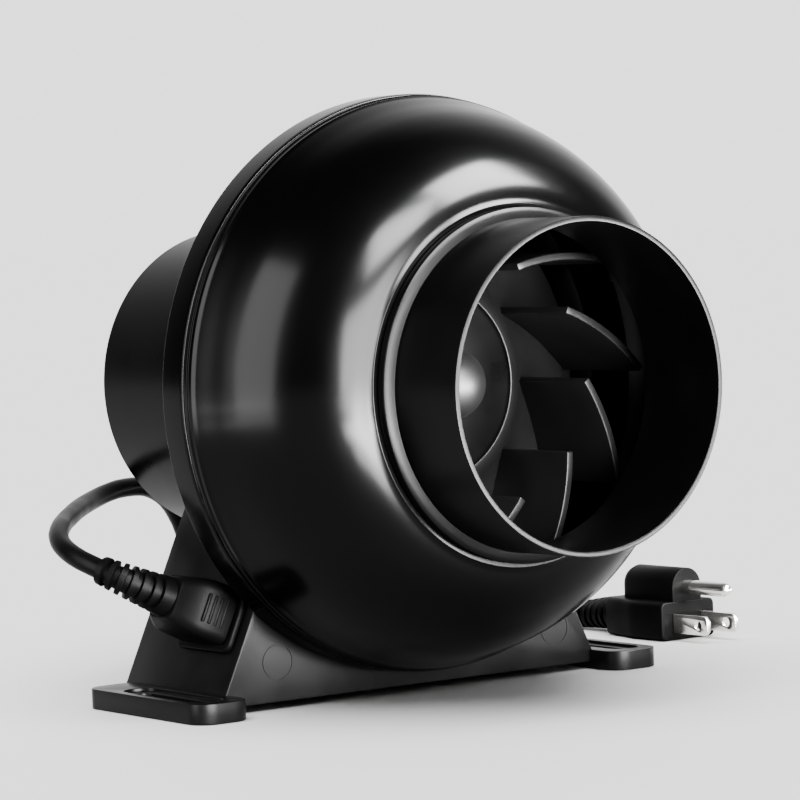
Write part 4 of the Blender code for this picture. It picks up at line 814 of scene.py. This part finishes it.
def base_bracket():
    def outside(shape):
        leaning(shape, UNDER, TOP, FRONT, REAR)

    def inside(shape):
        leaning(shape, -1.0, TOP + 1, FRONT + WALL, REAR - WALL, WALL / math.cos(LEAN))

    body = bevelled(built("v_base_bracket", outside, SATIN), 0.3, 3)
    cavity = cut(built("cavity", inside, SATIN), casing_space("saddle", 2.3))
    cut(body, cavity)
    cut(body, casing_space("space", 0.3))

    def marks(shape):
        half_w, half_h = 13.6, 9.6
        block(shape, (-half_w, -half_h, -14.0), (half_w, half_h, 4.0), INLET)
        block(shape, (-16.1, FRONT - 1.0, UNDER - 1), (-15.85, FRONT + 0.15, 24.0))

    cut(body, built("marks", marks, SATIN))
    turn = Matrix.Rotation(math.radians(-90), 4, "X")
    for side in (-1, 1):
        groove = [(5.4, 0.2), (5.4, -0.2), (5.1, -0.2), (5.1, 0.2)]
        middle = Vector((1.75 + side * 52.75, FRONT, 14.2))
        cut(body, lathe("groove", groove, SATIN, 64, Matrix.Translation(middle * MM) @ turn))
    parts = [body]

    def columns(shape):
        for x, y in (*BASE_SCREWS, COVER_SCREWS[0]):
            low, top = 4.9, AXIS_H - math.sqrt(DOME_R**2 - x * x) + 0.55 * y
            cylinder(shape, COLUMN_R, (x, y, low), (x, y, max(low + 6, top - 4)))
        for x, y in COVER_SCREWS[1:]:
            cylinder(shape, COLUMN_R, (x, y, 4.7), (x, y, 16.0))
            block(shape, (x - 1.0, y, 4.7), (x + 1.0, REAR - 1.0, 12.0))

    parts.append(built("columns", columns, SATIN))
    for side in (-1, 1):
        slot_at = (side * 79.2, 12.0)
        pad = upright("foot", rounded(9.5, 33.0, 6.5), (side * 78.1, 17.0), 0.0, PAD_T)
        cut(pad, upright("recess", rounded(5.5, 23.0, 5.49), slot_at, PAD_T - 1.0, PAD_T + 1))
        cut(pad, upright("slot", rounded(2.6, 18.0, 2.59), slot_at, -1.0, PAD_T + 1))
        parts.append(bevelled(pad, 0.45, 3, 50))
    made = joined("v_base_bracket_full", parts)
    return stands_for(made, "base", "moulding", "base_bracket")


def base_cover():
    def build(shape):
        block(shape, (-63.0, FRONT + WALL + 0.3, UNDER + 0.3), (63.0, REAR - WALL - 0.3, UNDER + 2.3))

    made = built("v_base_cover", build, SATIN)

    def holes(shape):
        for x, y in COVER_SCREWS:
            cylinder(shape, 1.8, (x, y, 0.0), (x, y, 9.0))
        for x, y in BASE_SCREWS:
            cylinder(shape, 3.0, (x, y, 0.0), (x, y, 9.0))
        for at in range(-4, 5):
            block(shape, (at * 10.0 - 0.4, 12.0, UNDER), (at * 10.0 + 0.4, 26.0, UNDER + 0.7))

    cut(made, built("holes", holes, SATIN))
    return stands_for(bevelled(made, 0.25, 2, 50), "base", "moulding", "base_cover")


# Inlet and connector

PINS = ((-7.0, -2.0), (0.0, 2.0), (7.0, -2.0))


def inlet():
    def body(shape):
        block(shape, (-13.3, -9.3, -14.0), (13.3, 9.3, 1.2), INLET)

    shell = built("inlet_shell", body, MATTE)

    def bezel(shape):
        outline = rounded(14.5, 10.8, 3.0)
        loft(shape, [[(x, y, z) for x, y in outline] for z in (0.3, 2.1)])

    plate = bevelled(built("bezel", bezel, MATTE), 0.5)
    plate.data.transform(INLET)

    def cavity(shape):
        block(shape, (-11.9, -7.9, -12.0), (11.9, 7.9, 6.0), INLET)

    cut(plate, built("cavity", cavity, MATTE))
    cut(shell, built("cavity", cavity, MATTE))
    made = joined("v_iec_inlet", [shell, plate])
    return stands_for(made, "base", "moulding", "iec_inlet")


def connector():
    def body(shape):
        sections = []
        for height, wide, tall in (
            (2.4, 25.6, 18.0),
            (8.0, 25.6, 18.0),
            (11.5, 25.0, 17.8),
            (14.4, 22.6, 16.8),
            (17.2, 18.0, 15.0),
            (19.5, 13.6, 13.2),
        ):
            sections.append([(x, y, height) for x, y in rounded(wide / 2, tall / 2, 3.2, 6)])
        loft(shape, sections)

    made = bevelled(built("connector", body, MATTE), 0.5, 3, 40)

    def nose(shape):
        block(shape, (-11.4, -7.4, -8.6), (11.4, 7.4, 3.4))

    front = bevelled(built("nose", nose, MATTE), 0.6)

    def sockets(shape):
        for x, y in PINS:
            block(shape, (x - 1.3, y - 2.3, -9.6), (x + 1.3, y + 2.3, -1.7))

    cut(front, built("sockets", sockets, MATTE))

    def ribs(shape):
        for at in range(4):
            low = 5.2 + at * 2.2
            block(shape, (12.0, -4.4, low), (13.1, 4.4, low + 1.0))
            block(shape, (-13.1, -4.4, low), (-12.0, 4.4, low + 1.0))

    grip = bevelled(built("ribs", ribs, MATTE), 0.3, 2)
    whole = joined("v_connector_body", [made, front, grip])
    whole.data.transform(INLET)
    return stands_for(whole, "base", "moulding", "connector_body")


# The cord's way from the connector down to the coil behind the fan
UPPER = [
    (-95.1, 23.0, 44.2),
    (-98.4, 32.1, 47.8),
    (-97.6, 41.9, 50.9),
    (-93.6, 50.9, 53.4),
    (-87.9, 59.1, 54.9),
    (-81.9, 67.2, 55.7),
    (-75.4, 75.0, 56.5),
    (-68.6, 82.6, 57.5),
    (-61.6, 90.0, 58.3),
    (-54.2, 96.7, 59.2),
    (-45.8, 102.1, 60.6),
    (-36.5, 106.3, 61.6),
    (-25.0, 110.7, 60.8),
    (-14.8, 115.4, 56.2),
    (-7.2, 119.6, 48.6),
    (-1.8, 123.4, 39.4),
    (2.8, 127.2, 29.6),
    (7.8, 131.2, 20.2),
    (14.8, 135.6, 11.6),
    (24.2, 139.2, 5.6),
    (32.0, 141.0, 3.6),
    (39.4, 141.4, 3.2),
]
# The cord's way from the coil to the plug
LOWER = [
    (98.3, 133.5, 7.4),
    (108.2, 130.2, 5.4),
    (117.0, 125.0, 4.0),
    (124.4, 118.2, 3.3),
    (130.2, 110.2, 3.2),
    (134.6, 101.2, 3.5),
    (137.7, 92.0, 4.4),
]
CORD_R = 3.1
RIB_DEPTH = 1.3
COIL = (64.0, 101.0)
COIL_R = 34.0
COIL_Z = 6.35

# (radius, height) of the coil's turns
TURNS = [(40.3, 3.2), (34.1, 3.2), (27.9, 3.2), (27.9, 9.35), (34.1, 9.35), (40.3, 9.35)]


def ease(value):
    value = min(1.0, max(0.0, value))
    return value * value * (3 - 2 * value)


def coil_points():
    """Clockwise turns, in along the floor and back out on top."""
    start, end = 90.0, 75.0
    total = 360.0 * len(TURNS) + (start - end)
    last = len(TURNS) - 1
    points = []
    count = 220
    for step in range(count + 1):
        travel = total * step / count
        turn = min(last, int(travel // 360))
        inside = travel - 360 * turn
        radius, height = TURNS[turn]
        if turn < last:
            next_radius, next_height = TURNS[turn + 1]
            radius += (next_radius - radius) * ease((inside - 230) / 60)
            height += (next_height - height) * ease((inside - 300) / 60)
        angle = math.radians(start - travel)
        points.append((COIL[0] + radius * math.cos(angle), COIL[1] + radius * math.sin(angle), height))
    return points


def relief(name, points, start_r, end_r, ribs, material):
    """A tapered sleeve with grooves between its ribs and a smooth collar at either end."""
    count = len(points) - 1
    radii = []
    for at in range(count + 1):
        share = at / count
        radius = start_r + (end_r - start_r) * share
        if 0.1 < share < 0.93:
            wave = (share - 0.1) / 0.83 * ribs
            if wave % 1.0 > 0.5:
                radius -= RIB_DEPTH
        radii.append(radius)
    return sweep(name, points, radii, material, 40, 30)


def cords():
    """Both strain reliefs, the cord from one to the other, and the tie round its coil."""
    exit_at = INLET @ Vector((0, 0, 19.7 * MM)) / MM
    upper = spline(UPPER, 4.0)
    away = (upper[1] - upper[0]).normalized()
    bend = bezier(exit_at, INLET_OUT, upper[0], away, 7.5, 90)
    sleeve = relief("v_connector_relief", bend, 6.3, 4.4, 6, MATTE)
    stands_for(sleeve, "base", "moulding", "connector_strain_relief")
    lower = spline(LOWER, 4.0)
    plug_end = PLUG @ Vector((0, -33.2 * MM, BOX_Z * MM)) / MM
    backwards = (PLUG.to_3x3() @ Vector((0, -1, 0))).normalized()
    arrive = (lower[-2] - lower[-1]).normalized()
    tail = bezier(plug_end, backwards, lower[-1], arrive, 8.3, 90)
    second = relief("v_plug_relief", tail, 6.2, 4.4, 6, MATTE)
    stands_for(second, "base", "moulding", "plug_strain_relief")
    route = [*bend[60:90:6], *upper]
    route += spline([UPPER[-1], (52.0, 141.4, 3.2), (64.0, 141.3, 3.2)], 4.0)[1:-1]
    route += [Vector(point) for point in coil_points()]
    route += spline([route[-1], (86.5, 136.7, 8.7), LOWER[0]], 4.0)[1:-1]
    route += lower
    route += [tail[at] for at in range(84, 30, -6)]
    curve = bpy.data.curves.new("v_cord", "CURVE")
    curve.dimensions = "3D"
    curve.bevel_depth = CORD_R * MM
    curve.bevel_resolution = 5
    curve.use_fill_caps = True
    line = curve.splines.new("POLY")
    line.points.add(len(route) - 1)
    for at, point in enumerate(route):
        line.points[at].co = (*(point * MM), 1.0)
    made = bpy.data.objects.new("v_cord", curve)
    bpy.context.scene.collection.objects.link(made)
    curve.materials.append(CORD)
    stands_for(made, "base", "cord_jacket", "cord_upper", "cord_coil", "cord_lower")

    def strap(shape):
        outer = rounded(10.3, 6.3, 2.6)
        inner = rounded(9.6, 5.9, 2.2)
        place = Matrix.Rotation(math.radians(-90), 3, "Z")
        origin = Vector((*COIL, 0))
        rings = []
        for outline, across in ((outer, -2.5), (outer, 2.5), (inner, 2.5), (inner, -2.5)):
            ring = []
            for x, z in outline:
                point = origin + place @ Vector((COIL_R + x, across, COIL_Z + z))
                ring.append(shape.verts.new(point * MM))
            rings.append(ring)
        for one, two in zip(rings, rings[1:] + rings[:1]):
            for at in range(len(one)):
                after = (at + 1) % len(one)
                shape.faces.new((one[at], one[after], two[after], two[at]))

    tie = built("v_coil_tie", strap, RUBBER)
    stands_for(tie, "base", "rubber", "coil_tie")
    return made, second, tie


# Plug

PLUG = Matrix.Translation((140.2 * MM, 33.1 * MM, 0.0)) @ Matrix.Rotation(math.pi + math.radians(1.8), 4, "Z")
BOX_Z = 6.5
BLADE_X = 6.35
BLADE_Z = 5.7
BLADE_HALF_W = 3.175
GROUND_Z = BLADE_Z + 11.9


def plug():
    """The plug's body, its two blades and its ground pin, which the cord takes with it."""

    def box(shape):
        sections = []
        for along, width in (
            (0.0, 24.0),
            (-15.5, 24.0),
            (-18.5, 22.8),
            (-25.0, 19.8),
            (-33.0, 17.0),
        ):
            sections.append([(x, along, BOX_Z + z) for x, z in rounded(width / 2, BOX_Z, 2.0, 5)])
        loft(shape, sections)

    body = bevelled(built("plug_box", box, MATTE), 0.7, 3, 50)

    def rib(shape):
        sections = []
        for along, radius in ((-0.2, 6.5), (-24.0, 6.5), (-26.2, 5.6), (-27.0, 3.5)):
            section = [(radius, along, 12.0)]
            for angle in around(24)[:13]:
                section.append((radius * math.cos(angle), along, GROUND_Z + radius * math.sin(angle)))
            sections.append([*section, (-radius, along, 12.0)])
        loft(shape, sections)

    barrel = bevelled(built("plug_rib", rib, MATTE), 0.35, 3, 40)

    def slots(shape):
        for side in (-1, 1):
            x = side * BLADE_X
            block(shape, (x - 0.95, -5.0, BLADE_Z - 3.35), (x + 0.95, 2.0, BLADE_Z + 3.35))

    cut(body, built("slots", slots, MATTE))
    made = joined("v_plug_body", [body, barrel])
    made.data.transform(PLUG)
    stands_for(made, "base", "moulding", "plug_body")
    pieces = [made]
    for name, side in (("line", 1), ("neutral", -1)):
        x = side * BLADE_X

        def build(shape, x=x):
            outline = [
                (-5.0, -BLADE_HALF_W),
                (15.9, -BLADE_HALF_W),
                (17.2, -1.9),
                (17.2, 1.9),
                (15.9, BLADE_HALF_W),
                (-5.0, BLADE_HALF_W),
            ]
            sections = []
            for across in (x - 0.75, x + 0.75):
                sections.append([(across, along, BLADE_Z + z) for along, z in outline])
            loft(shape, sections)

        pin = built(f"v_plug_blade_{name}", build, NICKEL)

        def hole(shape, x=x):
            cylinder(shape, 1.6, (x - 2, 12.6, BLADE_Z), (x + 2, 12.6, BLADE_Z), 40)

        cut(pin, built("hole", hole, NICKEL))
        bevelled(pin, 0.2, 2, 40)
        pin.data.transform(PLUG)
        stands_for(pin, "base", "plated_brass", f"plug_blade_{name}")
        pieces.append(pin)
    tip = [(0.0, 21.0), (0.9, 20.85), (1.6, 20.4), (2.1, 19.6), (2.4, 18.6), (2.4, -5.0), (0.0, -5.0)]
    place = Matrix.Translation((0, 0, GROUND_Z * MM)) @ Matrix.Rotation(math.radians(-90), 4, "X")
    ground = lathe("v_plug_ground_pin", tip, NICKEL, 48, place, 40)
    ground.data.transform(ground.matrix_world)
    ground.matrix_world = Matrix()
    ground.data.transform(PLUG)
    stands_for(ground, "base", "plated_brass", "plug_ground_pin")
    pieces.append(ground)
    return pieces


# Studio

STUDIO_MIDDLE = (0.0, -0.03, 0.1)


def aimed(place, target):
    turn = (Vector(target) - Vector(place)).to_track_quat("-Z", "Y").to_matrix().to_4x4()
    return Matrix.Translation(place) @ turn


def lamp(name, kind, receivers, energy, place):
    """A light that reaches only the given collection."""
    data = bpy.data.lights.new(name, kind)
    data.energy = energy
    made = bpy.data.objects.new(name, data)
    bpy.context.scene.collection.objects.link(made)
    made.matrix_world = place
    made.light_linking.receiver_collection = receivers
    made.visible_camera = False
    made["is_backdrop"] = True
    return made


def softbox(name, receivers, direction, distance, width, height, radiance, target=STUDIO_MIDDLE):
    """A rectangular light of a given brightness that faces the object."""
    place = aimed(Vector(target) + Vector(direction).normalized() * distance, target)
    made = lamp(name, "AREA", receivers, radiance * math.pi * width * height, place)
    made.data.shape = "RECTANGLE"
    made.data.size, made.data.size_y = width, height
    return made


def light_table(name, receivers, azimuth, near, far, width, radiance):
    """A strip of light that lies on the floor beside the object and shines upwards."""
    towards = Vector((math.sin(math.radians(azimuth)), -math.cos(math.radians(azimuth)), 0.0))
    place = Vector((STUDIO_MIDDLE[0], STUDIO_MIDDLE[1], 0.002)) + towards * (near + far) / 2
    side = Vector((-towards.y, towards.x, 0.0))
    turn = Matrix((side, -towards, Vector((0, 0, -1)))).transposed().to_4x4()
    energy = radiance * math.pi * width * (far - near)
    made = lamp(name, "AREA", receivers, energy, Matrix.Translation(place) @ turn)
    made.data.shape = "RECTANGLE"
    made.data.size, made.data.size_y = width, far - near
    return made


def studio():
    def plane(shape):
        bmesh.ops.create_grid(shape, x_segments=1, y_segments=1, size=40.0)

    white = bpy.data.materials.new("studio_floor")
    white.use_nodes = True
    shader = white.node_tree.nodes["Principled BSDF"]
    shader.inputs["Base Color"].default_value = (0.86, 0.86, 0.86, 1.0)
    shader.inputs["Roughness"].default_value = 0.7
    shader.inputs["Specular IOR Level"].default_value = 0.2
    floor = built("studio_floor", plane, white)
    floor.location.z = -0.0002
    floor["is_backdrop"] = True
    ground = bpy.data.collections.new("lit_floor")
    ground.objects.link(floor)
    fan = bpy.data.collections.new("lit_fan")
    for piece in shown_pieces():
        fan.objects.link(piece)
    world = bpy.data.worlds.new("studio")
    bpy.context.scene.world = world
    world.use_nodes = True
    nodes, links = world.node_tree.nodes, world.node_tree.links
    sky = nodes["Background"]
    sky.inputs["Color"].default_value = (1.0, 1.0, 1.0, 1.0)
    where = nodes.new("ShaderNodeTexCoord")
    dot = nodes.new("ShaderNodeVectorMath")
    dot.operation = "DOT_PRODUCT"
    dot.inputs[1].default_value = (0.581, 0.813, 0.0)
    links.new(where.outputs["Generated"], dot.inputs[0])
    ramp = nodes.new("ShaderNodeMapRange")
    ramp.interpolation_type = "SMOOTHSTEP"
    ramp.inputs["From Min"].default_value = 0.3
    ramp.inputs["From Max"].default_value = 0.95
    ramp.inputs["To Min"].default_value = 0.1
    ramp.inputs["To Max"].default_value = 2.2
    links.new(dot.outputs["Value"], ramp.inputs["Value"])
    links.new(ramp.outputs["Result"], sky.inputs["Strength"])
    sun = lamp("floor_sun", "SUN", ground, 7.2, aimed((-0.3, -0.4, 1.5), (0, 0, 0)))
    sun.data.angle = math.radians(70)
    for at in range(3):
        width, height = 0.85 + 0.25 * at, 0.6 + 0.25 * at
        softbox(f"front_box_{at}", fan, (-0.105, -0.99, 0.09), 1.9, width, height, 150)
    softbox("arc_box", fan, (0.0, -0.76, 0.65), 1.8, 0.8, 0.55, 250)
    softbox("top_box", fan, (0.44, -0.52, 0.73), 1.7, 0.8, 0.7, 320)
    for at in range(3):
        softbox(f"left_box_{at}", fan, (-0.99, 0.06, 0.2), 1.7, 0.35 + 0.25 * at, 1.7 + 0.25 * at, 24)
    light_table("left_table", fan, -94, 0.5, 0.9, 0.3, 20)
    light_table("left_far_table", fan, -94, 0.9, 1.7, 0.6, 34)
    light_table("close_table", fan, 4, 0.24, 0.34, 0.3, 150)
    light_table("near_table", fan, 10, 0.34, 0.75, 0.6, 480)
    light_table("far_table", fan, 14, 0.75, 1.8, 1.5, 340)
    light_table("right_table", fan, 70, 0.25, 0.9, 0.5, 60)


camera()
front_housing()
rear_housing()
screws()
impeller()
rotor()
motor_support()
base_bracket()
base_cover()
inlet()
connector()
plug_pieces = plug()
cord, plug_sleeve, tie = cords()
for node, material in HIDDEN_NODES.items():
    mesh = frame["nodes"][node].data
    mesh.materials.clear()
    mesh.materials.append(material)
studio()
